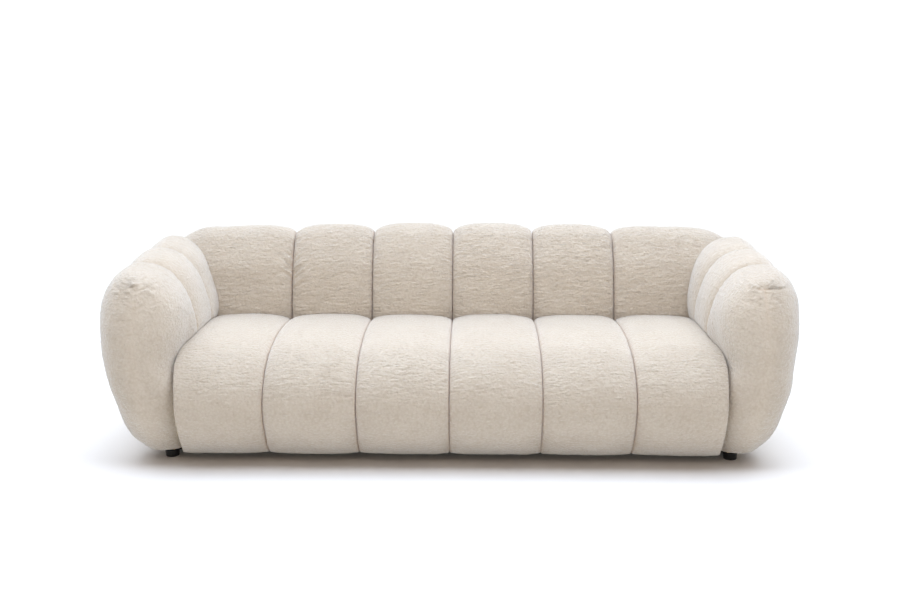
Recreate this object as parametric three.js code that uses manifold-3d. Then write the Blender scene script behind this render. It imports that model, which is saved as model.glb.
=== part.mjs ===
// A three-seat tuxedo sofa upholstered in fat vertical channels.
//
// The sofa comes apart as an upholsterer would take it: six seat channels, six back channels and three
// channels on each arm, every one a wadded fabric sleeve; the foam cores that they wrap; a timber frame
// for the seat, the back and each arm; sinuous seat springs under a felt pad; back webbing; bolts that
// hold the arms to the seat; a dust cover; and four screw-in feet.
//
// Millimetres. +X is to the right of someone looking at the front, +Y runs towards the back, +Z is up.
// The origin is on the floor under the middle of the sofa.

import * as THREE from "three";
import { mergeVertices } from "three/addons/utils/BufferGeometryUtils.js";
import Module from "manifold-3d";

const wasm = await Module();
wasm.setup();

// Driving sizes

const overallWidth = 2282;
const overallDepth = 936;
const overallHeight = 716;
const armWidth = 246;
const armFrontDrop = 80;
const armRearDrop = 24;
const armRunIn = 123.5;
const backThickness = 303;
const seatHeight = 407;
const footHeight = 24;

// The clearance between pieces that touch, the wider one where a rounded end closes to a line, and the
// overrun of a cutter past what it cuts
const fitGap = 0.3;
const noseGap = 1;
const overrun = 20;

// Upholstery
const seatGroove = 30;
const seatPad = 45;
const seatHemFoam = 15.5;
const backGroove = 42;
const backPad = 52;
const armGroove = 32;
const armPad = 49;
const armLining = 24;
const armNoseLength = 200;
const armNoseSetback = 14;
const backNoseLength = 242;
const backNoseSetback = 11;
const backArch = 15;

// Frame
const railThickness = 25;
const railHeight = 222;
const joistHeight = 70;
const timber = 45;
const armFrameLead = 18;
const armFrameDrop = 122.4;
const panelThickness = 18;
const panelCorner = 24;
const backFrameSetback = 104;
const backFrameDrop = 194.4;
const dustCoverThickness = 1;
const dustCoverMargin = 12;

// Springs, felt and webbing
const wireDiameter = 4;
const springWidth = 50;
const springCrown = 16;
const clipWidth = 26;
const clipThickness = 1.5;
const feltThickness = 5;
const strapThickness = 1.2;
const strapWidth = 60;

// Feet and bolts
const footDiameter = 47;
const footTaper = 3;
const footEdge = 3;
const studDiameter = 8;
const studLength = 32;
const frontFootInset = 207;
const rearFootInset = 261;
const boltDiameter = 8;
const boltHeadDiameter = 16;
const boltHeadHeight = 6;
const boltRise = 170;
const boltEndSetback = 72;
const holeClearance = 0.6;

// The least length worth a triangle's side, and the distance at which two corners are one
const leastSide = 0.003;
const cornerReach = 0.001;

// Proportions and counts
const seatHemShare = 0.798;
const hemStartShare = 0.45;
const hemPadShare = 0.55;
const rearHemPadShare = 0.775;
const channelPitchShare = 0.1676;
const armRailShare = 0.212;
const panelBorderShare = 0.148;
const strapPlaceShares = [-0.65, -0.325, 0.325, 0.65];
const springTailShare = 0.25;
const crownPower = 2.5;
const armNosePower = 2.3;
const backNosePower = 2.3;
const armLeanPower = 2;
const halfOutlineSteps = 9;
const curveSteps = 120;
const outlineCount = 2 * halfOutlineSteps + 1;
const crownSteps = 6;
const noseSteps = 5;
const springBars = 13;
const bendSteps = 3;
const wireSides = 5;
const roundSides = 16;
const seatChannels = 6;
const armChannels = 3;
const panelWindows = 2;
const panelArcSteps = 3;
const clipArcSteps = 4;

// Small helpers

const smooth = THREE.MathUtils.smoothstep;
const lerp = THREE.MathUtils.lerp;
const counted = (count, make) => Array.from({ length: count }, (_, n) => make(n));

// Planes that follow from the sizes above

const coverBottom = footHeight + fitGap;
const coverTop = coverBottom + dustCoverThickness;
const baseHeight = coverTop + fitGap;
const frontY = -overallDepth / 2;
const rearY = overallDepth / 2;
const backFrontY = rearY - backThickness;
const seatRearY = backFrontY - 2 * fitGap;
const halfWidth = overallWidth / 2;
const seatHalfWidth = halfWidth - armWidth;
const channelPitch = 2 * seatHalfWidth * channelPitchShare;
const armInnerX = seatHalfWidth + 2 * fitGap;
const armThickness = halfWidth - armInnerX;
const armFrontHeight = overallHeight - armFrontDrop;
const armRearHeight = overallHeight - armRearDrop;
const armNoseY = frontY + armNoseSetback + armNoseLength;
const armRearY = backFrontY + armRunIn;
const armPitch = (armRearY - armNoseY) / (armChannels - 0.5);
const backNoseX = halfWidth - backNoseSetback - backNoseLength;
const railTop = baseHeight + railHeight;
const seatHemY = lerp(seatRearY, frontY, seatHemShare);
const frontRailY = seatHemY + seatPad * hemPadShare + seatHemFoam;
const rearRailY = seatRearY - railThickness;
const armFrameX = armInnerX + armLining + fitGap;
const armRailX = armFrameX + armThickness * armRailShare;
const backFrameY = backFrontY + backFrameSetback;
const backFrameHalf = armRailX - dustCoverMargin;

// Outlines, as shares of the width and height of the piece

const seatFrontShares = [
  [seatHemShare, 0], [0.9, 0.11], [0.967, 0.263], [0.999, 0.42], [0.994, 0.548], [0.953, 0.686],
  [0.867, 0.818],
];
const seatTopShares = [
  [0.867, 0.818], [0.735, 0.918], [0.56, 0.973], [0.42, 0.995], [0.26, 1], [0.13, 0.993], [0, 0.976],
];
const backFrontShares = [
  [0, 0], [0, 0.3], [0, 0.46], [0.004, 0.54], [0.034, 0.615], [0.073, 0.693], [0.158, 0.814],
  [0.346, 0.94], [0.5, 0.989], [0.62, 1],
];
const backRearShares = [
  [0.62, 1], [0.72, 0.996], [0.83, 0.97], [0.93, 0.91], [0.988, 0.79], [1, 0.62], [0.985, 0.42], [0.94, 0.22],
  [0.87, 0.08], [0.8, 0],
];
const backSeamShares = [[0.48, 0], [0.5, 0.2], [0.52, 0.4], [0.53, 0.58]];
const armInnerShares = [
  [0, 0], [0, 0.3], [0, 0.47], [-0.03, 0.51], [-0.09, 0.555], [-0.12, 0.61], [-0.122, 0.67], [-0.1, 0.73],
  [-0.055, 0.797], [0.035, 0.872], [0.2, 0.948], [0.4, 0.989], [0.58, 1],
];
const armOuterShares = [
  [0.58, 1], [0.67, 0.998], [0.78, 0.978], [0.88, 0.935], [0.96, 0.866], [0.995, 0.77], [1, 0.65],
  [0.968, 0.505], [0.905, 0.394], [0.8, 0.269], [0.69, 0.134], [0.49, 0],
];
const armSeamShares = [[0.25, 0], [0.33, 0.22], [0.433, 0.44], [0.438, 0.7], [0.411, 0.92]];

// How much of a rounded end's length is tucked away at the floor, and how high up the tuck starts; and how
// much of it the arm's end leans back at the crest, and where the lean starts
const armTuckShares = [0.57, 0.3];
const backTuckShares = [0.49, 0.6];
const armLeanShares = [0.42, 0.6];

// Where along a half outline the end seam stops, and where a groove or a thicker pad starts and is full
const armSeamTopShare = 0.86;
const backSeamTopShare = 0.6;
const armGrooveShares = [0.4, 0.75];
const backGrooveShares = [0.25, 0.5];
const liningShares = [0.5, 0.8];

// How much of the cover's end seam its core has, and how much of the section a cutter keeps there
const coreSeamShare = 0.84;
const cutterTipShare = 0.03;

// Bodies

// A closed body through rings of points. The first and last rings are closed flat, or are drawn shut
// from side to side, as a seam is, where `sewn` says so.
function loft(rings, sewn = {}) {
  const positions = [];
  const count = rings[0].length;
  const triangle = (a, b, c) => {
    if (Math.min(a.distanceTo(b), b.distanceTo(c), c.distanceTo(a)) > leastSide) {
      positions.push(...a.toArray(), ...b.toArray(), ...c.toArray());
    }
  };
  for (let r = 0; r + 1 < rings.length; r += 1) {
    for (let k = 0; k < count; k += 1) {
      const next = (k + 1) % count;
      triangle(rings[r][k], rings[r + 1][k], rings[r + 1][next]);
      triangle(rings[r][k], rings[r + 1][next], rings[r][next]);
    }
  }
  // A flat end is triangulated as it is seen along X or along Y, whichever it faces.
  const close = (ring, turned) => {
    const normal = new THREE.Vector3();
    ring.forEach((p, k) => normal.add(new THREE.Vector3().crossVectors(p, ring[(k + 1) % count])));
    const facesX = Math.abs(normal.x) > Math.abs(normal.y);
    const flat = ring.map((p) => new THREE.Vector2(facesX ? p.y : p.x, p.z));
    const clockwise = THREE.ShapeUtils.isClockWise(flat);
    const order = clockwise ? [...ring].reverse() : ring;
    for (const face of THREE.ShapeUtils.triangulateShape(clockwise ? flat.reverse() : flat, [])) {
      const corners = face.map((n) => order[n]);
      triangle(...(turned === clockwise ? corners.reverse() : corners));
    }
  };
  // Outline points pair off from the base to the crest, and the two of a pair face each other.
  const sew = (ring, turned) => {
    for (let n = (outlineCount - count) / 2; n < halfOutlineSteps; n += 1) {
      const [a, b] = [n, n + 1].map((k) => ring[(k + count) % count]);
      const [c, d] = [outlineCount - 2 - n, outlineCount - 1 - n].map((k) => ring[(k + count) % count]);
      const faces = [[a, b, c], [a, c, d]];
      faces.forEach((face) => triangle(...(turned ? face : face.reverse())));
    }
  };
  const end = (ring, turned, isSewn) => (isSewn ? sew(ring, turned) : close(ring, turned));
  end(rings[0], true, sewn.first);
  end(rings[rings.length - 1], false, sewn.last);
  return new THREE.BufferGeometry().setAttribute("position", new THREE.Float32BufferAttribute(positions, 3));
}

function solidOf(geometry) {
  const bare = geometry.index ? geometry.toNonIndexed() : geometry.clone();
  bare.deleteAttribute("normal");
  bare.deleteAttribute("uv");
  const merged = mergeVertices(bare, cornerReach);
  const triVerts = new Uint32Array(merged.index.array);
  const vertProperties = merged.attributes.position.array;
  const solid = new wasm.Manifold(new wasm.Mesh({ numProp: 3, vertProperties, triVerts }));
  if (solid.volume() > 0) {
    return solid;
  }
  triVerts.reverse();
  return new wasm.Manifold(new wasm.Mesh({ numProp: 3, vertProperties, triVerts }));
}

const without = (solid, ...cutters) => cutters.reduce((left, cutter) => left.subtract(cutter), solid);

function geometryOf(solid) {
  const mesh = solid.getMesh();
  return new THREE.BufferGeometry()
    .setAttribute("position", new THREE.BufferAttribute(mesh.vertProperties, 3))
    .setIndex(new THREE.BufferAttribute(mesh.triVerts, 1));
}

function mirrored(geometry) {
  const turned = geometry.clone().scale(-1, 1, 1);
  turned.setIndex([...turned.index.array].reverse());
  return turned;
}

// A box between two opposite corners, grown all round by a clearance.
function box(low, high, grown = 0) {
  const size = high.map((h, i) => h - low[i] + 2 * grown);
  const middle = high.map((h, i) => (h + low[i]) / 2);
  return new THREE.BoxGeometry(...size).translate(...middle);
}

// A cylinder that stands on z = bottom.
function upright(diameter, bottom, top, x, y) {
  const drum = new THREE.CylinderGeometry(diameter / 2, diameter / 2, top - bottom, roundSides);
  return drum.rotateX(Math.PI / 2).translate(x, y, (top + bottom) / 2);
}

// A cylinder that lies along X.
function crosswise(diameter, left, right, y, z) {
  const drum = new THREE.CylinderGeometry(diameter / 2, diameter / 2, right - left, roundSides);
  return drum.rotateZ(Math.PI / 2).translate((left + right) / 2, y, z);
}

// Upholstered forms
//
// A form is a cross-section that runs along a length. Its outline goes up one side and down the other,
// in two halves, and every face of it is drawn in at the seams between channels.

// How far a channel's face has dropped from its crown, as a share of the groove, where `across` runs
// from -1 at one seam to 1 at the other.
const crownDrop = (across) => 1 - (1 - Math.abs(across) ** crownPower) ** (1 / crownPower);

const acrossPlaces = counted(crownSteps + 1, (n) => -Math.cos((Math.PI * n) / crownSteps));

// Rows over a rounded end: how far out each lies, and how much of the section is left there.
function noseRows(power) {
  return counted(noseSteps, (n) => {
    const turn = (Math.PI / 2) * ((n + 1) / noseSteps);
    const left = n + 1 === noseSteps ? 0 : Math.cos(turn) ** (2 / power);
    return { out: Math.sin(turn) ** (2 / power), left };
  });
}

// The two halves of an outline are stretches of one smooth curve that meet at the crest.
function outline(form, along) {
  const shares = [...form.firstShares, ...form.secondShares.slice(1)];
  const curve = new THREE.SplineCurve(shares.map(([a, b]) => form.place(a, b, along)));
  const crest = (form.firstShares.length - 1) / (shares.length - 1);
  const stretch = (from, to) => {
    const dense = counted(curveSteps + 1, (n) => curve.getPoint(lerp(from, to, n / curveSteps)));
    return new THREE.SplineCurve(dense).getSpacedPoints(halfOutlineSteps);
  };
  return [...stretch(0, crest), ...stretch(crest, 1).slice(1)];
}

// Unit normals that point out of an outline which goes clockwise; the two ends keep to their own planes.
function normalsOf(form, points) {
  const last = points.length - 1;
  return points.map((_, k) => {
    if (k === 0 || k === last) {
      return k === 0 ? form.firstNormal : form.lastNormal;
    }
    const run = points[k + 1].clone().sub(points[k - 1]).normalize();
    return new THREE.Vector2(-run.y, run.x);
  });
}

// The point of the end seam that an outline's k-th point closes onto.
function seamPoint(form, k, along) {
  const half = k <= halfOutlineSteps ? k : 2 * halfOutlineSteps - k;
  const share = Math.min(half / halfOutlineSteps / form.seamTopShare, 1);
  const curve = new THREE.SplineCurve(form.seamShares.map(([a, b]) => form.place(a, b, along)));
  return curve.getPoint(share * form.seamReachShare);
}

// One ring of a form at a place along it. `depth` says how far each point is drawn in.
function ring(form, along, depth) {
  const points = outline(form, along);
  const normals = normalsOf(form, points);
  const drawn = points.map((p, k) => p.clone().addScaledVector(normals[k], -depth(k)));
  return [...drawn, ...form.closing(drawn)].map((p) => form.world(p, along));
}

// The rings of a rounded end that starts at `along` and is `length` long where it is longest. `least` is
// the share of the section kept at its tip.
function noseRings(form, along, length, depth, least = 0) {
  const points = outline(form, along);
  const normals = normalsOf(form, points);
  const drawn = points.map((p, k) => p.clone().addScaledVector(normals[k], -depth(k)));
  return noseRows(form.nosePower).map(({ out, left }) => {
    const shrunk = drawn.map((p, k) => p.clone().lerp(seamPoint(form, k, along), 1 - Math.max(left, least)));
    return [...shrunk, ...form.closing(shrunk)].map((p) =>
      form.world(p, along + out * length * form.reachAt(p.y)),
    );
  });
}

// How much of its length a rounded end loses at a height, as it tucks under towards the floor or leans
// back towards its crest.
const riseAt = (z) => THREE.MathUtils.clamp((z - baseHeight) / (armFrontHeight - baseHeight), 0, 1);
const tuckAt = (z, [share, start]) => share * Math.max(1 - riseAt(z) / start, 0) ** 2;
const leanAt = (z, [share, start]) => share * Math.max((riseAt(z) - start) / (1 - start), 0) ** armLeanPower;

const halfShare = (k) => (k <= halfOutlineSteps ? k : 2 * halfOutlineSteps - k) / halfOutlineSteps;
const isFirstHalf = (k) => k < halfOutlineSteps;

// Drawing-in for a channel face at a place across it, less a clearance when it is used as a cutter.
const channelDepth = (form, across, grown) => (k) => form.groove(k) * crownDrop(across) - grown;
const padDepth = (form, grown) => (k) => form.pad(k) - grown;

// A straight channel between two seams.
function channelBody(form, from, to, grown = 0) {
  const half = (to - from) / 2;
  const stretch = (half + grown) / half;
  return solidOf(
    loft(
      acrossPlaces.map((across) => {
        const along = from + half + across * half * stretch;
        return ring(form, along, channelDepth(form, across, grown));
      }),
    ),
  );
}

// A channel with a seam at one end and a rounded end at the other. `noseAt` is where the rounding starts,
// `tip` is where it ends and `crownAt` is where the channel has its full crown.
function endChannelBody(form, seamAt, crownAt, noseAt, tip, grown = 0) {
  const depth = (across) => channelDepth(form, across, grown);
  const outwards = Math.sign(tip - seamAt);
  const inner = acrossPlaces.filter((across) => across <= 0);
  const seamRows = inner.map((across) => ({
    along: lerp(crownAt, seamAt - outwards * grown, -across),
    across,
  }));
  const rings = seamRows.map(({ along, across }) => ring(form, along, depth(across)));
  if (Math.abs(noseAt - crownAt) > fitGap) {
    rings.push(ring(form, noseAt, depth(0)));
  }
  rings.push(...noseRings(form, noseAt, tip + outwards * grown - noseAt, depth(0)));
  return solidOf(loft(rings, { last: true }));
}

// The foam core of a form: from one end to the other, with a rounded end at each place in `tips`. Its
// end seam stops lower than the cover's.
function coreBody(outer, places, tips, grown = 0) {
  const form = { ...outer, seamReachShare: coreSeamShare };
  const depth = padDepth(form, grown);
  const rings = places.map((along) => ring(form, along, depth));
  const least = grown > 0 ? cutterTipShare : 0;
  const capped = (tip, start) => {
    const length = tip - start + Math.sign(grown * (tip - start)) * noseGap;
    return noseRings(form, start, length, depth, least);
  };
  if (tips.first !== undefined) {
    rings.unshift(...capped(tips.first, places[0]).reverse());
  }
  if (tips.last !== undefined) {
    rings.push(...capped(tips.last, places[places.length - 1]));
  }
  return solidOf(loft(rings, { first: tips.first !== undefined, last: tips.last !== undefined }));
}

// Extends a core downwards past the base, so that it cuts the underside open.
function openBelow(form) {
  const closing = (points) => {
    const first = points[0];
    const last = points[points.length - 1];
    return [new THREE.Vector2(last.x, last.y - overrun), new THREE.Vector2(first.x, first.y - overrun)];
  };
  return { ...form, closing };
}

// Seat

const seatForm = {
  firstShares: seatFrontShares,
  secondShares: seatTopShares,
  place: (a, b) =>
    new THREE.Vector2(seatRearY - a * (seatRearY - frontY), lerp(baseHeight, seatHeight, b)),
  firstNormal: new THREE.Vector2(-1, 0),
  lastNormal: new THREE.Vector2(0, 1),
  world: (p, along) => new THREE.Vector3(along, p.x, p.y),
  groove: () => seatGroove,
  pad: (k) => {
    const rise = k / halfOutlineSteps;
    return seatPad * lerp(hemPadShare, 1, smooth(rise, 0, hemStartShare));
  },
  closing: () => [new THREE.Vector2(seatRearY, baseHeight)],
};

// The height of the springs' centre line over the seat, and of the faces that rest on it in turn
const springEndHeight = railTop + fitGap + clipThickness + wireDiameter / 2;
const springFrontY = frontRailY + railThickness / 2;
const springRearY = rearRailY + railThickness / 2;
const springSpan = springRearY - springFrontY;
function springHeight(y) {
  const across = (2 * (y - springFrontY)) / springSpan - 1;
  return springEndHeight + springCrown * Math.max(1 - across * across, 0);
}
const feltBottom = (y) => springHeight(y) + wireDiameter / 2 + clipThickness + fitGap;
const feltTop = (y) => feltBottom(y) + feltThickness;

const deckPlaces = counted(halfOutlineSteps + 1, (n) => lerp(frontRailY, seatRearY, n / halfOutlineSteps));

const seatSeams = counted(seatChannels + 1, (n) => {
  if (n === 0 || n === seatChannels) {
    return n === 0 ? -seatHalfWidth : seatHalfWidth;
  }
  return (n - seatChannels / 2) * channelPitch;
});

const seatFoamForm = {
  ...seatForm,
  closing: () => {
    const under = [...deckPlaces].reverse().map((y) => new THREE.Vector2(y, feltTop(y) + fitGap));
    under[under.length - 1].x -= fitGap;
    return [...under, new THREE.Vector2(frontRailY - fitGap, baseHeight)];
  },
};
const seatCutterForm = {
  ...seatForm,
  closing: (points) => [
    new THREE.Vector2(seatRearY + overrun, points[points.length - 1].y),
    new THREE.Vector2(seatRearY + overrun, baseHeight - overrun),
    new THREE.Vector2(points[0].x, baseHeight - overrun),
  ],
};

const seatEnds = [-seatHalfWidth, seatHalfWidth];
const seatFoam = coreBody(seatFoamForm, seatEnds, {});
const seatCutter = coreBody(seatCutterForm, seatEnds.map((x) => x + Math.sign(x) * overrun), {}, fitGap);

const seatChannelBodies = counted(seatChannels, (n) => {
  const from = seatSeams[n] + (n > 0 ? fitGap / 2 : 0);
  const to = seatSeams[n + 1] - (n + 1 < seatChannels ? fitGap / 2 : 0);
  return without(channelBody(seatForm, from, to), seatCutter);
});

// Back

const backHeight = (x) => overallHeight - backArch * Math.min(Math.abs(x) / backNoseX, 1) ** 2;

const backForm = {
  firstShares: backFrontShares,
  secondShares: backRearShares,
  seamShares: backSeamShares,
  seamTopShare: backSeamTopShare,
  seamReachShare: 1,
  nosePower: backNosePower,
  reachAt: (z) => 1 - tuckAt(z, backTuckShares),
  place: (a, b, x) => new THREE.Vector2(lerp(backFrontY, rearY, a), lerp(baseHeight, backHeight(x), b)),
  firstNormal: new THREE.Vector2(-1, 0),
  lastNormal: new THREE.Vector2(1, 0),
  world: (p, along) => new THREE.Vector3(along, p.x, p.y),
  groove: (k) => backGroove * (isFirstHalf(k) ? smooth(halfShare(k), ...backGrooveShares) : 1),
  pad: (k) => backPad * (isFirstHalf(k) ? 1 : lerp(1, rearHemPadShare, 1 - halfShare(k))),
  closing: () => [],
};

const backTip = halfWidth - backNoseSetback;
const backSeams = counted(seatChannels - 1, (n) => (n + 1 - seatChannels / 2) * channelPitch);
const lastBackSeam = backSeams[backSeams.length - 1];
const backCrownX = lastBackSeam + channelPitch / 2;
const backCorePlaces = [-backNoseX, ...backSeams, backNoseX];
const backCoreTips = { first: -backTip + backPad, last: backTip - backPad };
const backCutter = coreBody(openBelow(backForm), backCorePlaces, backCoreTips, fitGap);

const backFrameLow = [-backFrameHalf, backFrameY, baseHeight];
const backFrameTop = overallHeight - backFrameDrop;
const backFrameHigh = [backFrameHalf, backFrameY + timber, backFrameTop];
const backFrameSpace = solidOf(
  box(
    [backFrameLow[0], backFrameY - strapThickness - fitGap, baseHeight - overrun],
    backFrameHigh,
    fitGap,
  ),
);
const backFoam = without(coreBody(backForm, backCorePlaces, backCoreTips), backFrameSpace);

const backEndBody = (grown = 0) =>
  endChannelBody(backForm, lastBackSeam + fitGap / 2, backCrownX, backNoseX, backTip, grown);
const rightEndBody = without(backEndBody(), backCutter);
const leftEndBody = without(solidOf(mirrored(geometryOf(backEndBody()))), backCutter);
const backMiddleBodies = backSeams.slice(0, -1).map((seam, n) =>
  without(channelBody(backForm, seam + fitGap / 2, backSeams[n + 1] - fitGap / 2), backCutter),
);

// Arms, made as the right one; the left one is its mirror image

function armHeight(y) {
  const rise = THREE.MathUtils.clamp((y - armNoseY) / (armRearY - armNoseY), 0, 1);
  return lerp(armFrontHeight, armRearHeight, rise);
}

const armForm = {
  firstShares: armInnerShares,
  secondShares: armOuterShares,
  seamShares: armSeamShares,
  seamTopShare: armSeamTopShare,
  seamReachShare: 1,
  nosePower: armNosePower,
  reachAt: (z) => 1 - tuckAt(z, armTuckShares) - leanAt(z, armLeanShares),
  place: (a, b, y) => new THREE.Vector2(armInnerX + a * armThickness, lerp(baseHeight, armHeight(y), b)),
  firstNormal: new THREE.Vector2(-1, 0),
  lastNormal: new THREE.Vector2(1, 0),
  world: (p, along) => new THREE.Vector3(p.x, along, p.y),
  groove: (k) => armGroove * (isFirstHalf(k) ? smooth(halfShare(k), ...armGrooveShares) : 1),
  pad: (k) => {
    if (isFirstHalf(k)) {
      return lerp(armLining, armPad, smooth(halfShare(k), ...liningShares));
    }
    return armPad * lerp(1, rearHemPadShare, 1 - halfShare(k));
  },
  closing: () => [],
};

const armTip = frontY + armNoseSetback;
const armSeams = counted(armChannels, (n) => armNoseY + armPitch * (n + 0.5));
const armCorePlaces = [armNoseY, ...armSeams.slice(0, -1), armRearY];
const armCoreTips = { first: armTip + armPad };

const seatEnvelope = channelBody(seatForm, seatSeams[seatChannels - 1], seatHalfWidth, fitGap);
const backEnvelope = backEndBody(fitGap);

// The arm's timber: a base rail, a side panel that stands on it and a top rail
const armFrameY = frontRailY - armFrameLead;
const armFrameRearY = seatRearY - fitGap;
const panelFrontY = armNoseY;
const armRailTop = baseHeight + timber;
const armFrameTop = armFrontHeight - armFrameDrop;
const armBaseLow = [armFrameX, armFrameY, baseHeight];
const armBaseHigh = [armRailX, armFrameRearY, armRailTop];
const panelLow = [armFrameX, panelFrontY, armRailTop + fitGap];
const panelHigh = [armFrameX + panelThickness, armFrameRearY, armFrameTop];
const armTopLow = [armFrameX + panelThickness + fitGap, panelFrontY, armFrameTop - timber];
const armTopHigh = [armFrameX + panelThickness + fitGap + timber, armFrameRearY, armFrameTop];
const liningTop = lerp(baseHeight, armFrontHeight, armInnerShares[2][1]);
const liningSpace = solidOf(
  box([armInnerX, armFrameY, baseHeight - overrun], [armFrameX + panelThickness, armFrameRearY, liningTop]),
);
const armBaseSpace = solidOf(
  box([armBaseLow[0], armBaseLow[1], baseHeight - overrun], armBaseHigh, fitGap),
);
const armTimberSpace = [
  armBaseSpace,
  solidOf(box(panelLow, panelHigh, fitGap)),
  solidOf(box(armTopLow, armTopHigh, fitGap)),
];

const boltPlaces = [armNoseY + boltEndSetback, seatRearY - boltEndSetback];
const boltHeight = baseHeight + boltRise;
const boltLeft = seatHalfWidth - railThickness - fitGap;
const boltRight = armFrameX + panelThickness + fitGap;
const boltHoleDiameter = boltDiameter + 2 * holeClearance;
const boltHeadSpaceDiameter = boltHeadDiameter + 2 * holeClearance;
const boltEnd = boltRight + boltHeadHeight;
const boltHoles = boltPlaces.map((y) =>
  solidOf(crosswise(boltHoleDiameter, boltLeft - overrun, boltRight + overrun, y, boltHeight)),
);
const boltHeads = boltPlaces.map((y) =>
  solidOf(crosswise(boltHeadSpaceDiameter, boltRight - fitGap, boltEnd + fitGap, y, boltHeight)),
);

const armCutter = coreBody(openBelow(armForm), [...armCorePlaces, armRearY + overrun], armCoreTips, fitGap);
const armFoam = without(
  coreBody(armForm, armCorePlaces, armCoreTips),
  liningSpace,
  ...armTimberSpace,
  ...boltHeads,
  backEnvelope,
);
const armOuterBodies = [
  endChannelBody(armForm, armSeams[0] - fitGap / 2, armNoseY, armNoseY, armTip),
  ...armSeams.slice(0, -1).map((seam, n) =>
    channelBody(armForm, seam + fitGap / 2, armSeams[n + 1] - fitGap / 2),
  ),
];
const armBodies = armOuterBodies.map((body) =>
  without(body, armCutter, ...armTimberSpace, seatEnvelope, backEnvelope, ...boltHoles),
);

// Seat frame

const rail = (low, high) => solidOf(box(low, high));
const studTop = footHeight + studLength;
const studBore = (x, y) =>
  solidOf(upright(studDiameter + 2 * holeClearance, footHeight - overrun, studTop + holeClearance, x, y));

const frontRail = rail(
  [-seatHalfWidth, frontRailY, baseHeight],
  [seatHalfWidth, frontRailY + railThickness, railTop],
);
const rearRail = rail([-seatHalfWidth, rearRailY, baseHeight], [seatHalfWidth, seatRearY, railTop]);
const sideLow = [seatHalfWidth - railThickness, frontRailY + railThickness + fitGap, baseHeight];
const sideHigh = [seatHalfWidth, rearRailY - fitGap, railTop];
const sideRail = without(rail(sideLow, sideHigh), ...boltHoles);

function joistAt(x) {
  return box(
    [x - railThickness / 2, sideLow[1], baseHeight],
    [x + railThickness / 2, sideHigh[1], baseHeight + joistHeight],
  );
}

// Springs

// A round wire through points.
function wire(points, diameter) {
  const last = points.length - 1;
  const rings = points.map((p, n) => {
    const [before, after] = [points[Math.max(n - 1, 0)], points[Math.min(n + 1, last)]];
    const run = after.clone().sub(before).normalize();
    const side = new THREE.Vector3(0, 0, 1).cross(run).normalize();
    const up = run.clone().cross(side);
    return counted(wireSides, (s) => {
      const turn = (2 * Math.PI * s) / wireSides;
      return p
        .clone()
        .addScaledVector(side, (Math.cos(turn) * diameter) / 2)
        .addScaledVector(up, (Math.sin(turn) * diameter) / 2);
    });
  });
  return loft(rings);
}

// The clip is a steel strip folded over the wire's end bar and stapled down on both sides of it.
function clipAt(y) {
  const reach = wireDiameter / 2 + clipThickness;
  const profile = new THREE.Shape();
  profile.moveTo(-2 * reach, 0);
  profile.lineTo(-2 * reach, clipThickness);
  profile.lineTo(-reach, clipThickness);
  profile.absarc(0, clipThickness + wireDiameter / 2, reach, Math.PI, 0, true);
  profile.lineTo(reach, clipThickness);
  profile.lineTo(2 * reach, clipThickness);
  profile.lineTo(2 * reach, 0);
  const strip = new THREE.ExtrudeGeometry(profile, {
    depth: clipWidth,
    bevelEnabled: false,
    curveSegments: clipArcSteps,
  });
  return strip
    .translate(0, 0, -clipWidth / 2)
    .rotateX(Math.PI / 2)
    .rotateZ(Math.PI / 2)
    .translate(0, y, railTop + fitGap);
}

function springAt(x) {
  const pitch = springSpan / (springBars - 1);
  const bend = pitch / 2;
  const straight = springWidth / 2 - bend;
  const tail = springWidth * springTailShare;
  const points = [new THREE.Vector3(-tail, springFrontY, springEndHeight)];
  for (let bar = 0; bar + 1 < springBars; bar += 1) {
    const side = bar % 2 === 0 ? 1 : -1;
    const y = springFrontY + bar * pitch;
    for (let n = 0; n <= bendSteps; n += 1) {
      const turn = (Math.PI * n) / bendSteps;
      const bendX = side * (straight + bend * Math.sin(turn));
      const bendY = y + bend * (1 - Math.cos(turn));
      points.push(new THREE.Vector3(bendX, bendY, springHeight(bendY)));
    }
  }
  points.push(new THREE.Vector3(tail, springRearY, springEndHeight));
  const joined = [springFrontY, springRearY].reduce(
    (body, y) => body.add(solidOf(clipAt(y))),
    solidOf(wire(points, wireDiameter)),
  );
  return geometryOf(joined).translate(x, 0, 0);
}

// The felt pad follows the arch of the springs.
const feltRing = (x) => [
  ...deckPlaces.map((y) => new THREE.Vector3(x, y, feltTop(y))),
  ...[...deckPlaces].reverse().map((y) => new THREE.Vector3(x, y, feltBottom(y))),
];

// Arm timber

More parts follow.
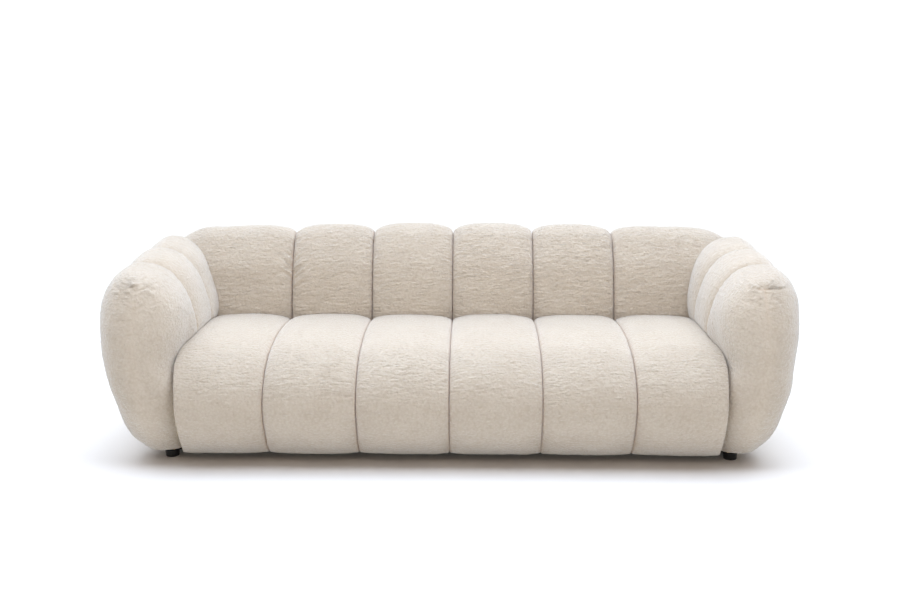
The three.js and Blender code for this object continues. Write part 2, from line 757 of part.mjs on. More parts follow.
function panelWithWindows() {
  const depth = panelHigh[1] - panelLow[1];
  const height = panelHigh[2] - panelLow[2];
  const border = depth * panelBorderShare;
  const plate = new THREE.Shape();
  plate.moveTo(0, 0);
  plate.lineTo(depth, 0);
  plate.lineTo(depth, height);
  plate.lineTo(panelCorner, height);
  plate.absarc(panelCorner, height - panelCorner, panelCorner, Math.PI / 2, Math.PI, false);
  plate.lineTo(0, 0);
  const floor = boltHeight - panelLow[2] + border / 2 + panelCorner;
  const ceiling = height - border - panelCorner;
  const windowWidth = (depth - (panelWindows + 1) * border) / panelWindows;
  for (let n = 0; n < panelWindows; n += 1) {
    const near = border + n * (windowWidth + border) + panelCorner;
    const far = near + windowWidth - 2 * panelCorner;
    const open = new THREE.Path();
    open.absarc(near, floor, panelCorner, Math.PI, 1.5 * Math.PI, false);
    open.absarc(far, floor, panelCorner, 1.5 * Math.PI, 2 * Math.PI, false);
    open.absarc(far, ceiling, panelCorner, 0, 0.5 * Math.PI, false);
    open.absarc(near, ceiling, panelCorner, 0.5 * Math.PI, Math.PI, false);
    plate.holes.push(open);
  }
  const sheet = new THREE.ExtrudeGeometry(plate, {
    depth: panelThickness,
    bevelEnabled: false,
    curveSegments: panelArcSteps,
  });
  sheet.rotateX(Math.PI / 2).rotateZ(Math.PI / 2).translate(...panelLow);
  return without(solidOf(sheet), ...boltHoles);
}

const frontFootX = halfWidth - frontFootInset;
const frontFootY = frontRailY;
const rearFootX = halfWidth - rearFootInset;
const rearFootY = backFrameY + timber / 2;

const armBaseRail = geometryOf(without(rail(armBaseLow, armBaseHigh), studBore(frontFootX, frontFootY)));
const armPanel = geometryOf(panelWithWindows());
const armTopRail = geometryOf(rail(armTopLow, armTopHigh));

// A pan-headed bolt that runs from inside the seat's side rail to the arm panel's outer face.
function boltAt(y) {
  const midHead = boltHeadHeight / 2;
  const shank = solidOf(crosswise(boltDiameter, boltLeft - midHead, boltRight + midHead, y, boltHeight));
  const outerHead = solidOf(crosswise(boltHeadDiameter, boltRight, boltEnd, y, boltHeight));
  const innerHead = solidOf(crosswise(boltHeadDiameter, boltLeft - boltHeadHeight, boltLeft, y, boltHeight));
  return geometryOf(shank.add(outerHead).add(innerHead));
}

// Back timber and webbing

const backRailTop = baseHeight + joistHeight;
const backTopRailBottom = backFrameTop - timber;
const backBottomRail = without(
  rail(backFrameLow, [backFrameHalf, backFrameHigh[1], backRailTop]),
  studBore(rearFootX, rearFootY),
  studBore(-rearFootX, rearFootY),
);
const backTopRail = box([-backFrameHalf, backFrameY, backTopRailBottom], backFrameHigh);
const backPostAt = (x) =>
  box(
    [x - timber / 2, backFrameY, backRailTop + fitGap],
    [x + timber / 2, backFrameHigh[1], backTopRailBottom - fitGap],
  );
const strapAt = (x) =>
  box(
    [x - strapWidth / 2, backFrameY - fitGap - strapThickness, baseHeight + joistHeight / 2],
    [x + strapWidth / 2, backFrameY - fitGap, backTopRailBottom + timber / 2],
  );

// Dust cover, with a hole for each foot's stud

const footPlaces = [
  ["front_left_foot", -frontFootX, frontFootY],
  ["front_right_foot", frontFootX, frontFootY],
  ["rear_left_foot", -rearFootX, rearFootY],
  ["rear_right_foot", rearFootX, rearFootY],
];

function dustCover() {
  const front = armFrameY + dustCoverMargin / 2;
  const rear = backFrameHigh[1] + dustCoverMargin;
  const cloth = box([-backFrameHalf, front, coverBottom], [backFrameHalf, rear, coverTop]);
  return without(solidOf(cloth), ...footPlaces.map(([, x, y]) => studBore(x, y)));
}

// Feet: a tapered plastic foot with a rolled lower edge, on a steel stud

function footGeometry() {
  const top = footDiameter / 2;
  const sole = top - footTaper / 2;
  const stud = studDiameter / 2;
  const half = Math.SQRT1_2;
  const profile = [
    [0, 0],
    [sole - footEdge, 0],
    [sole - footEdge * (1 - half), footEdge * (1 - half)],
    [sole, footEdge],
    [top, footHeight - footEdge / 2],
    [top - footEdge / 2, footHeight],
    [stud, footHeight],
    [stud, studTop - stud / 2],
    [stud / 2, studTop],
    [0, studTop],
  ];
  const turned = new THREE.LatheGeometry(profile.map(([r, z]) => new THREE.Vector2(r, z)), roundSides);
  return geometryOf(solidOf(turned.rotateX(Math.PI / 2)));
}

// Materials

const finish = (color, roughness, metalness = 0) =>
  new THREE.MeshStandardMaterial({ color, roughness, metalness });
const boucle = finish(0xe8e1d5, 0.96);
const foam = finish(0xf3e9c9, 0.9);
const felt = finish(0x8f9089, 0.97);
const birch = finish(0xc9a873, 0.72);
const springSteel = finish(0x8b8f94, 0.38, 0.9);
const jute = finish(0x4d453c, 0.9);
const blackCloth = finish(0x1d1d1f, 0.95);
const blackPlastic = finish(0x161617, 0.5);

// Assembly

const sofa = new THREE.Group();
sofa.name = "tuxedo_sofa";

function place(name, shape, material, parent = sofa) {
  const geometry = shape.isBufferGeometry ? shape : geometryOf(shape);
  const mesh = new THREE.Mesh(geometry, material.clone());
  mesh.name = name;
  parent.add(mesh);
  return mesh;
}

const seatModule = new THREE.Group();
const backModule = new THREE.Group();
const armModules = new THREE.Group();
sofa.add(seatModule, backModule, armModules);

seatChannelBodies.forEach((body, n) => place(`seat_channel_${n + 1}`, body, boucle, seatModule));
place("seat_foam", seatFoam, foam, seatModule);
place("spring_pad", loft([feltRing(-seatHalfWidth), feltRing(seatHalfWidth)]), felt, seatModule);
place("front_rail", frontRail, birch, seatModule);
place("rear_rail", rearRail, birch, seatModule);
place("right_side_rail", sideRail, birch, seatModule);
place("left_side_rail", mirrored(geometryOf(sideRail)), birch, seatModule);
place("right_joist", joistAt(channelPitch), birch, seatModule);
place("left_joist", joistAt(-channelPitch), birch, seatModule);
counted(seatChannels, (n) => {
  const x = (seatSeams[n] + seatSeams[n + 1]) / 2;
  place(`seat_spring_${n + 1}`, springAt(x), springSteel, seatModule);
});

place("back_channel_1", leftEndBody, boucle, backModule);
backMiddleBodies.forEach((body, n) => place(`back_channel_${n + 2}`, body, boucle, backModule));
place(`back_channel_${seatChannels}`, rightEndBody, boucle, backModule);
place("back_foam", backFoam, foam, backModule);
place("back_bottom_rail", backBottomRail, birch, backModule);
place("back_top_rail", backTopRail, birch, backModule);
place("back_centre_post", backPostAt(0), birch, backModule);
place("back_right_post", backPostAt(backFrameHalf - timber / 2), birch, backModule);
place("back_left_post", backPostAt(timber / 2 - backFrameHalf), birch, backModule);
strapPlaceShares.forEach((share, n) => {
  place(`back_webbing_${n + 1}`, strapAt(share * backFrameHalf), jute, backModule);
});

const armPieces = [
  ...armBodies.map((body, n) => [`arm_channel_${n + 1}`, geometryOf(body), boucle]),
  ["arm_foam", geometryOf(armFoam), foam],
  ["arm_base_rail", armBaseRail, birch],
  ["arm_panel", armPanel, birch],
  ["arm_top_rail", armTopRail, birch],
  ["arm_front_bolt", boltAt(boltPlaces[0]), springSteel],
  ["arm_rear_bolt", boltAt(boltPlaces[1]), springSteel],
];
for (const [name, geometry, material] of armPieces) {
  place(`right_${name}`, geometry, material, armModules);
  place(`left_${name}`, mirrored(geometry), material, armModules);
}

place("dust_cover", dustCover(), blackCloth);
for (const [name, x, y] of footPlaces) {
  place(name, footGeometry(), blackPlastic).position.set(x, y, 0);
}

export default sofa;
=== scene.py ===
"""Looks for a three-seat channel-tufted tuxedo sofa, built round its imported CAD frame.

The CAD frame gives every place and size. Here the upholstery is rebuilt as fine meshes: eighteen
wadded covers, their foam cores, the felt pad, the webbing, the dust cover and the feet. Lengths are in
millimetres until a mesh is made, in the axes of the frame: +X right, +Y to the back, +Z up.
"""

import math

import bmesh
import bpy
import numpy as np
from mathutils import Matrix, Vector
from mathutils.bvhtree import BVHTree
from mathutils.geometry import delaunay_2d_cdt


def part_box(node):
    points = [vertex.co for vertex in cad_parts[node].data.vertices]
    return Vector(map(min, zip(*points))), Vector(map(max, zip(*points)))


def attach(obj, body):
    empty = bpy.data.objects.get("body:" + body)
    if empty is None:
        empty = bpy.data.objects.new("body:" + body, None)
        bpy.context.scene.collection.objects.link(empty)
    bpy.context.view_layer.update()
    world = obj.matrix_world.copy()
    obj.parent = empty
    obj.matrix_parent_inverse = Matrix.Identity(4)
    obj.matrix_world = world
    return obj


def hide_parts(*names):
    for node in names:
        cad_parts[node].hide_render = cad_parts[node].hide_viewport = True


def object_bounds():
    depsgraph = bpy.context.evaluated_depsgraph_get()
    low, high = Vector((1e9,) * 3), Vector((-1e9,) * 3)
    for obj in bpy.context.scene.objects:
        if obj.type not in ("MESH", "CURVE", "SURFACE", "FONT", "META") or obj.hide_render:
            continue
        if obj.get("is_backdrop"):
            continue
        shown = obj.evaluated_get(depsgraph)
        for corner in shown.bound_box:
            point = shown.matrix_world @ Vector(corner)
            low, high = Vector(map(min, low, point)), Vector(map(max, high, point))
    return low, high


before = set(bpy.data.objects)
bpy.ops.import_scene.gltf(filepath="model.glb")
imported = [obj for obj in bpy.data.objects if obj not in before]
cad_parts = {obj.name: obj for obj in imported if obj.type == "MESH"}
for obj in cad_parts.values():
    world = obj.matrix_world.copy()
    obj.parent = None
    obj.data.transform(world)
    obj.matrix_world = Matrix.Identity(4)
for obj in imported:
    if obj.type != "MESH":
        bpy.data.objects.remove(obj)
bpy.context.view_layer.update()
MM = 0.001
WELD = 0.02

# Sizes that the CAD part holds too

OVERALL_WIDTH, OVERALL_DEPTH, OVERALL_HEIGHT = 2282, 936, 716
ARM_WIDTH, ARM_FRONT_DROP, ARM_REAR_DROP, ARM_RUN_IN = 246, 80, 24, 123.5
BACK_THICKNESS, SEAT_HEIGHT, FOOT_HEIGHT = 303, 407, 24
FIT_GAP = 0.3
SEAT_GROOVE, SEAT_PAD = 30, 45
BACK_GROOVE, BACK_PAD = 42, 52
ARM_GROOVE, ARM_PAD, ARM_LINING = 32, 49, 24
ARM_NOSE_LENGTH, ARM_NOSE_SETBACK = 200, 14
BACK_NOSE_LENGTH, BACK_NOSE_SETBACK, BACK_ARCH = 242, 11, 15
CHANNEL_PITCH_SHARE = 0.1676
SEAT_CHANNELS, ARM_CHANNELS = 6, 3
CROWN_POWER, ARM_NOSE_POWER, BACK_NOSE_POWER = 2.5, 2.3, 2.3
ARM_LEAN_SHARE, ARM_LEAN_START, ARM_LEAN_POWER = 0.42, 0.6, 2
CORE_SEAM_SHARE = 0.84
COVER_BOTTOM = FOOT_HEIGHT + FIT_GAP
BASE = COVER_BOTTOM + 1 + FIT_GAP
FRONT_Y, REAR_Y = -OVERALL_DEPTH / 2, OVERALL_DEPTH / 2
BACK_FRONT_Y = REAR_Y - BACK_THICKNESS
SEAT_REAR_Y = BACK_FRONT_Y - 2 * FIT_GAP
HALF_WIDTH = OVERALL_WIDTH / 2
SEAT_HALF = HALF_WIDTH - ARM_WIDTH
PITCH = 2 * SEAT_HALF * CHANNEL_PITCH_SHARE
ARM_INNER_X = SEAT_HALF + 2 * FIT_GAP
ARM_THICKNESS = HALF_WIDTH - ARM_INNER_X
ARM_FRONT_HEIGHT = OVERALL_HEIGHT - ARM_FRONT_DROP
ARM_REAR_HEIGHT = OVERALL_HEIGHT - ARM_REAR_DROP
ARM_NOSE_Y = FRONT_Y + ARM_NOSE_SETBACK + ARM_NOSE_LENGTH
ARM_TIP = FRONT_Y + ARM_NOSE_SETBACK
ARM_REAR_Y = BACK_FRONT_Y + ARM_RUN_IN
ARM_PITCH = (ARM_REAR_Y - ARM_NOSE_Y) / (ARM_CHANNELS - 0.5)
BACK_TIP = HALF_WIDTH - BACK_NOSE_SETBACK
BACK_NOSE_X = BACK_TIP - BACK_NOSE_LENGTH

# Small helpers


def smooth(x, low, high):
    t = np.clip((np.asarray(x, float) - low) / (high - low), 0, 1)
    return t * t * (3 - 2 * t)


def mix(a, b, t):
    return a + (b - a) * t


def band(x, start, full, fade, end):
    """A share that rises from 0 at start to 1 at full, and falls again from fade to 0 at end."""
    return smooth(x, start, full) * (1 - smooth(x, fade, end))


def bell(x, width):
    return np.exp(-(x / width) ** 2)


def crown_drop(across):
    return 1 - (1 - np.abs(across) ** CROWN_POWER) ** (1 / CROWN_POWER)


def curve_at(points, t):
    """Points of a Catmull-Rom curve at t, which runs evenly over its stretches from 0 to 1."""
    p = np.asarray(points, float)
    last = len(p) - 1
    t = np.asarray(t, float) * last
    i = np.minimum(t.astype(int), last - 1)
    w = (t - i)[..., None]
    a, b, c, d = (p[np.clip(i + n, 0, last)] for n in (-1, 0, 1, 2))
    return b + w / 2 * ((c - a) + w * ((2 * a - 5 * b + 4 * c - d) + w * (3 * (b - c) + d - a)))


def spread(weights, count):
    """count places from 0 to 1, closer where the weight, given at pairs of place and weight, is higher."""
    t = np.linspace(0, 1, 2001)
    w = np.interp(t, *zip(*weights))
    total = np.concatenate([[0], np.cumsum((w[1:] + w[:-1]) / 2)])
    return np.interp(np.linspace(0, total[-1], count), total, t)


def lattice(seed):
    return np.random.default_rng(seed).random((256, 256))


def noise(table, x, y):
    """Smooth noise from 0 to 1 over a plane."""
    xi, yi = np.floor(x).astype(int), np.floor(y).astype(int)
    fx, fy = x - xi, y - yi
    sx, sy = fx ** 3 * (fx * (6 * fx - 15) + 10), fy ** 3 * (fy * (6 * fy - 15) + 10)
    a, b = table[xi % 256, yi % 256], table[(xi + 1) % 256, yi % 256]
    c, d = table[xi % 256, (yi + 1) % 256], table[(xi + 1) % 256, (yi + 1) % 256]
    return mix(mix(a, b, sx), mix(c, d, sx), sy)


def centred(table, x, y):
    return noise(table, x, y) - 0.5


# Outlines of the upholstery, as shares of depth or width and of height


def rise_at(z):
    return np.clip((z - BASE) / (ARM_FRONT_HEIGHT - BASE), 0, 1)


def tuck(z, share, start):
    """How much of its length a rounded end loses as it tucks under towards the floor."""
    return share * np.maximum(1 - rise_at(z) / start, 0) ** 2


def lean(z):
    """How much of its length an arm's rounded end loses as it leans back towards its crest."""
    above = np.maximum((rise_at(z) - ARM_LEAN_START) / (1 - ARM_LEAN_START), 0)
    return ARM_LEAN_SHARE * above ** ARM_LEAN_POWER


class Form:
    """A cross-section that runs along a length. v goes from 0 at one hem over the crest at 1 to 2."""

    def __init__(self, **values):
        self.__dict__.update(values)
        shares = self.first + self.second[1:]
        crest = (len(self.first) - 1) / (len(shares) - 1)
        self.halves = []
        for low, high in ((0, crest), (crest, 1)):
            dense = curve_at(shares, np.linspace(low, high, 801))
            p, z = self.place(dense[:, 0], dense[:, 1], self.reference)
            run = np.concatenate([[0], np.cumsum(np.hypot(np.diff(p), np.diff(z)))])
            self.halves.append((dense, run))

    def shares_at(self, v):
        v = np.asarray(v, float)
        out = np.empty(v.shape + (2,))
        for half, (dense, run) in enumerate(self.halves):
            chosen = (v <= 1) if half == 0 else (v > 1)
            for axis in range(2):
                out[chosen, axis] = np.interp((v[chosen] - half) * run[-1], run, dense[:, axis])
        return out

    def length_at(self, v):
        first, second = (run[-1] for _, run in self.halves)
        return np.where(v <= 1, v * first, first + (v - 1) * second)


def seat_place(a, b, x):
    return SEAT_REAR_Y - a * (SEAT_REAR_Y - FRONT_Y) + 0 * x, mix(BASE, SEAT_HEIGHT, b) + 0 * x


def back_height(x):
    return OVERALL_HEIGHT - BACK_ARCH * np.minimum(np.abs(x) / BACK_NOSE_X, 1) ** 2


def back_place(a, b, x):
    return mix(BACK_FRONT_Y, REAR_Y, a) + 0 * x, mix(BASE, back_height(x), b)


def arm_height(y):
    rise = np.clip((y - ARM_NOSE_Y) / (ARM_REAR_Y - ARM_NOSE_Y), 0, 1)
    return mix(ARM_FRONT_HEIGHT, ARM_REAR_HEIGHT, rise)


def arm_place(a, b, y):
    return ARM_INNER_X + a * ARM_THICKNESS + 0 * y, mix(BASE, arm_height(y), b)


SEAT = Form(
    first=[(0.798, 0), (0.9, 0.11), (0.967, 0.263), (0.999, 0.42), (0.994, 0.548), (0.953, 0.686),
           (0.867, 0.818)],
    second=[(0.867, 0.818), (0.735, 0.918), (0.56, 0.973), (0.42, 0.995), (0.26, 1), (0.13, 0.993),
            (0, 0.976)],
    place=seat_place, reference=0.0, end_normals=((-1, 0), (0, 1)),
    world=lambda along, p, z: np.stack([along + 0 * p, p, z], -1),
    groove=lambda v: SEAT_GROOVE * mix(0.35, 1, smooth(v, 0, 0.3)),
    pad=lambda v: SEAT_PAD * mix(0.55, 1, smooth(v / 2, 0, 0.225)),
)
BACK = Form(
    first=[(0, 0), (0, 0.3), (0, 0.46), (0.004, 0.54), (0.034, 0.615), (0.073, 0.693), (0.158, 0.814),
           (0.346, 0.94), (0.5, 0.989), (0.62, 1)],
    second=[(0.62, 1), (0.72, 0.996), (0.83, 0.97), (0.93, 0.91), (0.988, 0.79), (1, 0.62), (0.985, 0.42),
            (0.94, 0.22), (0.87, 0.08), (0.8, 0)],
    place=back_place, reference=0.0, end_normals=((-1, 0), (1, 0)),
    world=lambda along, p, z: np.stack([along + 0 * p, p, z], -1),
    groove=lambda v: BACK_GROOVE * np.where(v < 1, smooth(v, 0.25, 0.5), 1),
    pad=lambda v: BACK_PAD * np.where(v < 1, 1, mix(1, 0.775, np.clip(v - 1, 0, 1))),
    seam=[(0.48, 0), (0.5, 0.2), (0.52, 0.4), (0.53, 0.58)], seam_top=0.6, nose_power=BACK_NOSE_POWER,
    reach=lambda z: 1 - tuck(z, 0.49, 0.6),
)
ARM = Form(
    first=[(0, 0), (0, 0.3), (0, 0.47), (-0.03, 0.51), (-0.09, 0.555), (-0.12, 0.61), (-0.122, 0.67),
           (-0.1, 0.73), (-0.055, 0.797), (0.035, 0.872), (0.2, 0.948), (0.4, 0.989), (0.58, 1)],
    second=[(0.58, 1), (0.67, 0.998), (0.78, 0.978), (0.88, 0.935), (0.96, 0.866), (0.995, 0.77), (1, 0.65),
            (0.968, 0.505), (0.905, 0.394), (0.8, 0.269), (0.69, 0.134), (0.49, 0)],
    place=arm_place, reference=ARM_NOSE_Y, end_normals=((-1, 0), (1, 0)),
    world=lambda along, p, z: np.stack([p, along + 0 * p, z], -1),
    groove=lambda v: ARM_GROOVE * np.where(v < 1, smooth(v, 0.4, 0.75), 1),
    pad=lambda v: np.where(v < 1, mix(ARM_LINING, ARM_PAD, smooth(v, 0.5, 0.8)),
                           ARM_PAD * mix(1, 0.775, np.clip(v - 1, 0, 1))),
    seam=[(0.25, 0), (0.33, 0.22), (0.433, 0.44), (0.438, 0.7), (0.411, 0.92)], seam_top=0.86,
    nose_power=ARM_NOSE_POWER, reach=lambda z: 1 - tuck(z, 0.57, 0.3) - lean(z),
)

# Grids of points over a form


def section(form, v, along, depth):
    """The outline at each place along a form, drawn in by depth, as two grids of rows by v."""
    a, b = form.shares_at(v).T
    p, z = form.place(a[None], b[None], along)
    run_p, run_z = np.gradient(p, axis=1), np.gradient(z, axis=1)
    size = np.maximum(np.hypot(run_p, run_z), 1e-9)
    n_p, n_z = -run_z / size, run_p / size
    for end, (e_p, e_z) in zip((0, -1), form.end_normals):
        n_p[:, end], n_z[:, end] = e_p, e_z
    return p - n_p * depth, z - n_z * depth


def straight_grid(form, v, along, across, pad=None, edge=1):
    """Rows of a channel. along and across are columns, or grids where the rows end unevenly, and edge is how
    much of its groove each point has."""
    depth = form.groove(v)[None] * crown_drop(across) * edge if pad is None else pad[None] + 0 * across
    p, z = section(form, v, along, depth)
    return form.world(along, p, z)


def nose_rows(power, count):
    """The rows of a rounded end: how far out each stands, and how much of the outline is left there."""
    turn = np.linspace(0, math.pi / 2, count + 1)[1:]
    left = np.cos(turn) ** (2 / power)
    left[-1] = 0
    return np.sin(turn) ** (2 / power), left


def nose_grid(form, v, start, length, count, pad=None, reach=1.0):
    """The rows of a rounded end, which close onto its seam and tuck under towards the floor."""
    out, left = nose_rows(form.nose_power, count)
    depth = 0 * v if pad is None else pad
    p, z = section(form, v, np.array([[start]], float), depth[None])
    half = np.minimum(v, 2 - v)
    seam_a, seam_b = curve_at(form.seam, np.minimum(half / form.seam_top, 1) * reach).T
    seam_p, seam_z = form.place(seam_a, seam_b, start)
    p = mix(p, seam_p[None], 1 - left[:, None])
    z = mix(z, seam_z[None], 1 - left[:, None])
    return form.world(start + out[:, None] * length * form.reach(z), p, z)


def across_places(count, edge=0.55):
    """Places over a channel from -1 to 1, closer at its seams by the share edge."""
    t = np.linspace(-1, 1, count)
    return mix(t, np.sin(t * math.pi / 2), edge)


# Meshes


def box_of(node):
    """The low and the high corner of a CAD solid, in millimetres."""
    return np.array(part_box(node)) / MM


def quads(at):
    """The faces of a grid of point numbers."""
    return np.stack([at[:-1, :-1], at[1:, :-1], at[1:, 1:], at[:-1, 1:]], -1).reshape(-1, 4).tolist()


def numbered(rows, count, first=0):
    return first + np.arange(rows * count).reshape(rows, count)


def cleaned(obj, merge=0, edge=0):
    """Joins points within merge, drops loose points and edges shorter than edge, and turns it outward."""
    work = bmesh.new()
    work.from_mesh(obj.data)
    if merge:
        bmesh.ops.remove_doubles(work, verts=work.verts, dist=merge)
    if edge:
        bmesh.ops.dissolve_degenerate(work, edges=work.edges, dist=edge)
    bmesh.ops.delete(work, geom=[v for v in work.verts if not v.link_faces], context="VERTS")
    bmesh.ops.recalc_face_normals(work, faces=work.faces)
    work.to_mesh(obj.data)
    work.free()
    return obj


def new_object(name, points, faces, smooth_faces=True):
    mesh = bpy.data.meshes.new(name)
    mesh.from_pydata((np.asarray(points) * MM).tolist(), [], faces)
    mesh.validate()
    obj = bpy.data.objects.new(name, mesh)
    bpy.context.scene.collection.objects.link(obj)
    if smooth_faces:
        mesh.polygons.foreach_set("use_smooth", [True] * len(mesh.polygons))
    return obj


def grid_normals(grid):
    """Unit normals of a grid of points, by the points on either side of each."""
    n = np.cross(np.gradient(grid, axis=0), np.gradient(grid, axis=1))
    return n / np.maximum(np.linalg.norm(n, axis=-1, keepdims=True), 1e-9)


def sleeve(name, outer, inner, picks, nosed, marks):
    """A closed cover: a fine outer face, an inner one with a row for each of the outer's rows in picks,
    and strips that join them along the hems and the seams. A nosed cover is sewn shut at its last row."""
    rows, count = outer.shape[:2]
    points = np.concatenate([outer.reshape(-1, 3), inner.reshape(-1, 3)])
    outer_at = numbered(rows, count)
    inner_at = numbered(len(picks), count, rows * count)
    if nosed:
        k = np.arange(count)
        for at in (outer_at, inner_at):
            at[-1] = at[-1, np.minimum(k, count - 1 - k)]
    faces = quads(outer_at) + quads(inner_at)
    for end in ((0,) if nosed else (0, -1)):
        faces += quads(np.stack([outer_at[end], inner_at[end]]))
    for k in (0, count - 1):
        for j in range(len(picks) - 1):
            edge = outer_at[picks[j]:picks[j + 1] + 1, k].tolist()
            faces.append(edge + [int(inner_at[j + 1, k]), int(inner_at[j, k])])
    faces = [[p for n, p in enumerate(face) if p != face[n - 1]] for face in faces]
    obj = new_object(name, points, [face for face in faces if len(set(face)) == len(face) > 2])
    for key, values in marks.items():
        wide = values.ndim > 2
        layer = obj.data.attributes.new(key, "FLOAT_VECTOR" if wide else "FLOAT", "POINT")
        rest = np.zeros((len(picks) * count,) + values.shape[2:])
        full = np.concatenate([values.reshape((-1,) + values.shape[2:]), rest])
        layer.data.foreach_set("vector" if wide else "value", full.astype(np.float32).ravel())
    return cleaned(obj, WELD * MM)


# The camera

CAMERA_AT = (0.0697, -3.923, 1.1726)
CAMERA_DOWN, CAMERA_LEFT, LENS = 10.0, 1.1, 45.0

camera_data = bpy.data.cameras.new("camera")
camera_data.lens = LENS
camera_data.sensor_width = 36
camera = bpy.data.objects.new("camera", camera_data)
camera.location = CAMERA_AT
camera.rotation_euler = (math.radians(90 - CAMERA_DOWN), 0, math.radians(CAMERA_LEFT))
bpy.context.scene.collection.objects.link(camera)
bpy.context.scene.camera = camera

scene = bpy.context.scene
scene.view_settings.view_transform = "Standard"

# Materials


class Shader:
    """A material made of nodes. A value that is a socket is linked, and any other is set."""

    def __init__(self, name, **sockets):
        self.material = bpy.data.materials.new(name)
        self.material.use_nodes = True
        self.tree = self.material.node_tree
        self.surface = self.tree.nodes["Principled BSDF"]
        self.fill(self.surface, sockets)

    def fill(self, node, sockets):
        for key, value in sockets.items():
            socket = node.inputs[key if isinstance(key, int) else key.replace("_", " ")]
            if isinstance(value, bpy.types.NodeSocket):
                self.tree.links.new(value, socket)
            else:
                socket.default_value = value

    def node(self, kind, inputs=None, **settings):
        node = self.tree.nodes.new("ShaderNode" + kind)
        for key, value in settings.items():
            setattr(node, key, value)
        self.fill(node, inputs or {})
        return node

    def attribute(self, name, output="Fac"):
        return self.node("Attribute", attribute_name=name).outputs[output]

    def place(self, vector=None, scale=(1, 1, 1), turn=(0, 0, 0)):
        """Another vector, or else the piece's own coordinates, scaled and turned."""
        source = vector or self.node("TexCoord").outputs["Object"]
        return self.node("Mapping", {"Vector": source, "Scale": scale, "Rotation": turn}).outputs[0]

    def noise(self, vector, scale, detail=3.0, roughness=0.55, distortion=0.0):
        inputs = {"Vector": vector, "Scale": scale, "Detail": detail, "Roughness": roughness,
                  "Distortion": distortion}
        return self.node("TexNoise", inputs).outputs[0]

    def cells(self, vector, scale, randomness=1.0, feature="F1"):
        inputs = {"Vector": vector, "Scale": scale, "Randomness": randomness}
        return self.node("TexVoronoi", inputs, feature=feature).outputs["Distance"]

    def between(self, value, low, high):
        return self.node("MapRange", {"Value": value, "To Min": low, "To Max": high}).outputs[0]

    def math(self, operation, a, b=0.0):
        return self.node("Math", {0: a, 1: b}, operation=operation).outputs[0]

    def total(self, value, *more):
        """The sum of a value and of more of them, each times its weight."""
        for other, weight in more:
            value = self.math("ADD", value, self.math("MULTIPLY", other, weight))
        return value

    def ramp(self, value, *stops):
        node = self.node("ValToRGB", {0: value})
        ramp = node.color_ramp
        while len(ramp.elements) < len(stops):
            ramp.elements.new(1.0)
        for element, (place, colour) in zip(ramp.elements, stops):
            element.position = place
            element.color = (*colour, 1) if len(colour) == 3 else colour
        return node.outputs[0]

    def blend(self, factor, a, b, kind="MIX"):
        node = self.node("Mix", {0: factor, 6: a, 7: b}, data_type="RGBA", blend_type=kind)
        return node.outputs[2]

    def bump(self, height, strength, distance, normal=None):
        inputs = {"Height": height, "Strength": strength, "Distance": distance}
        if normal:
            inputs["Normal"] = normal
        return self.node("Bump", inputs).outputs[0]

    def finish(self, **sockets):
        self.fill(self.surface, sockets)
        return self.material


WHITE = (1, 1, 1)


def boucle_material():
    s = Shader("boucle", Roughness=1.0, Specular_IOR_Level=0.1, Sheen_Weight=0.9, Sheen_Roughness=0.42)
    s.surface.inputs["Sheen Tint"].default_value = (0.94, 0.97, 1.0, 1)
    place = s.place()
    knots, loops = (s.cells(place, scale, feature="SMOOTH_F1") for scale in (135.0, 420.0))
    curls = s.noise(place, 600.0, 2.0, 0.6)
    tufts = s.noise(place, 110.0, 3.0, 0.6)
    cloth = s.attribute("cloth", "Vector")
    ripples = s.noise(s.place(cloth, (27, 200, 1)), 1.0, 3.0, 0.5, 0.4)
    ridges = s.math("ABSOLUTE", s.math("SUBTRACT", ripples, 0.5))
    zone = s.attribute("wrinkle")
    crease = s.attribute("crease")
    pile = s.total(s.math("MULTIPLY", loops, -0.35), (knots, -0.8), (curls, 0.3), (tufts, 0.9))
    normal = s.bump(s.math("MULTIPLY", ridges, zone), 1.0, 0.008)
    normal = s.bump(pile, 0.9, 0.0032, normal)
    tone = s.ramp(s.noise(place, 9.0, 4.0, 0.6), (0.3, (0.59, 0.52, 0.437)), (0.7, (0.625, 0.56, 0.477)))
    # Painted shade: the cloth is darker between the knots, standing in for the shade in the recesses between
    # the loops.
    knot_recess_shade = s.ramp(knots, (0.15, WHITE), (0.75, (0.84, 0.8, 0.74)))
    tone = s.blend(0.7, tone, knot_recess_shade, "MULTIPLY")
    # Painted shade: the cloth is darkened and warmed towards brown along the seams, standing in for the shade
    # in their grooves.
    tone = s.blend(s.math("MULTIPLY", crease, 0.7), tone, (0.64, 0.45, 0.3, 1))
    return s.finish(Base_Color=tone, Normal=normal)


BOUCLE = boucle_material()

# Relief of the covers

HEM_ROLL, ARM_HEM_ROLL, ARM_HEM_LIFT, SEAT_HEM_DROP = 6, 13, 1, 6
FOLDS, FINE_FOLDS, LUMPS, SWELLS, PUCKERS, LONG_PUCKERS = 2.6, 2.2, 0.8, 3.0, 5.0, 20.0


def ridged(n):
    return 1 - np.abs(2 * n - 1)


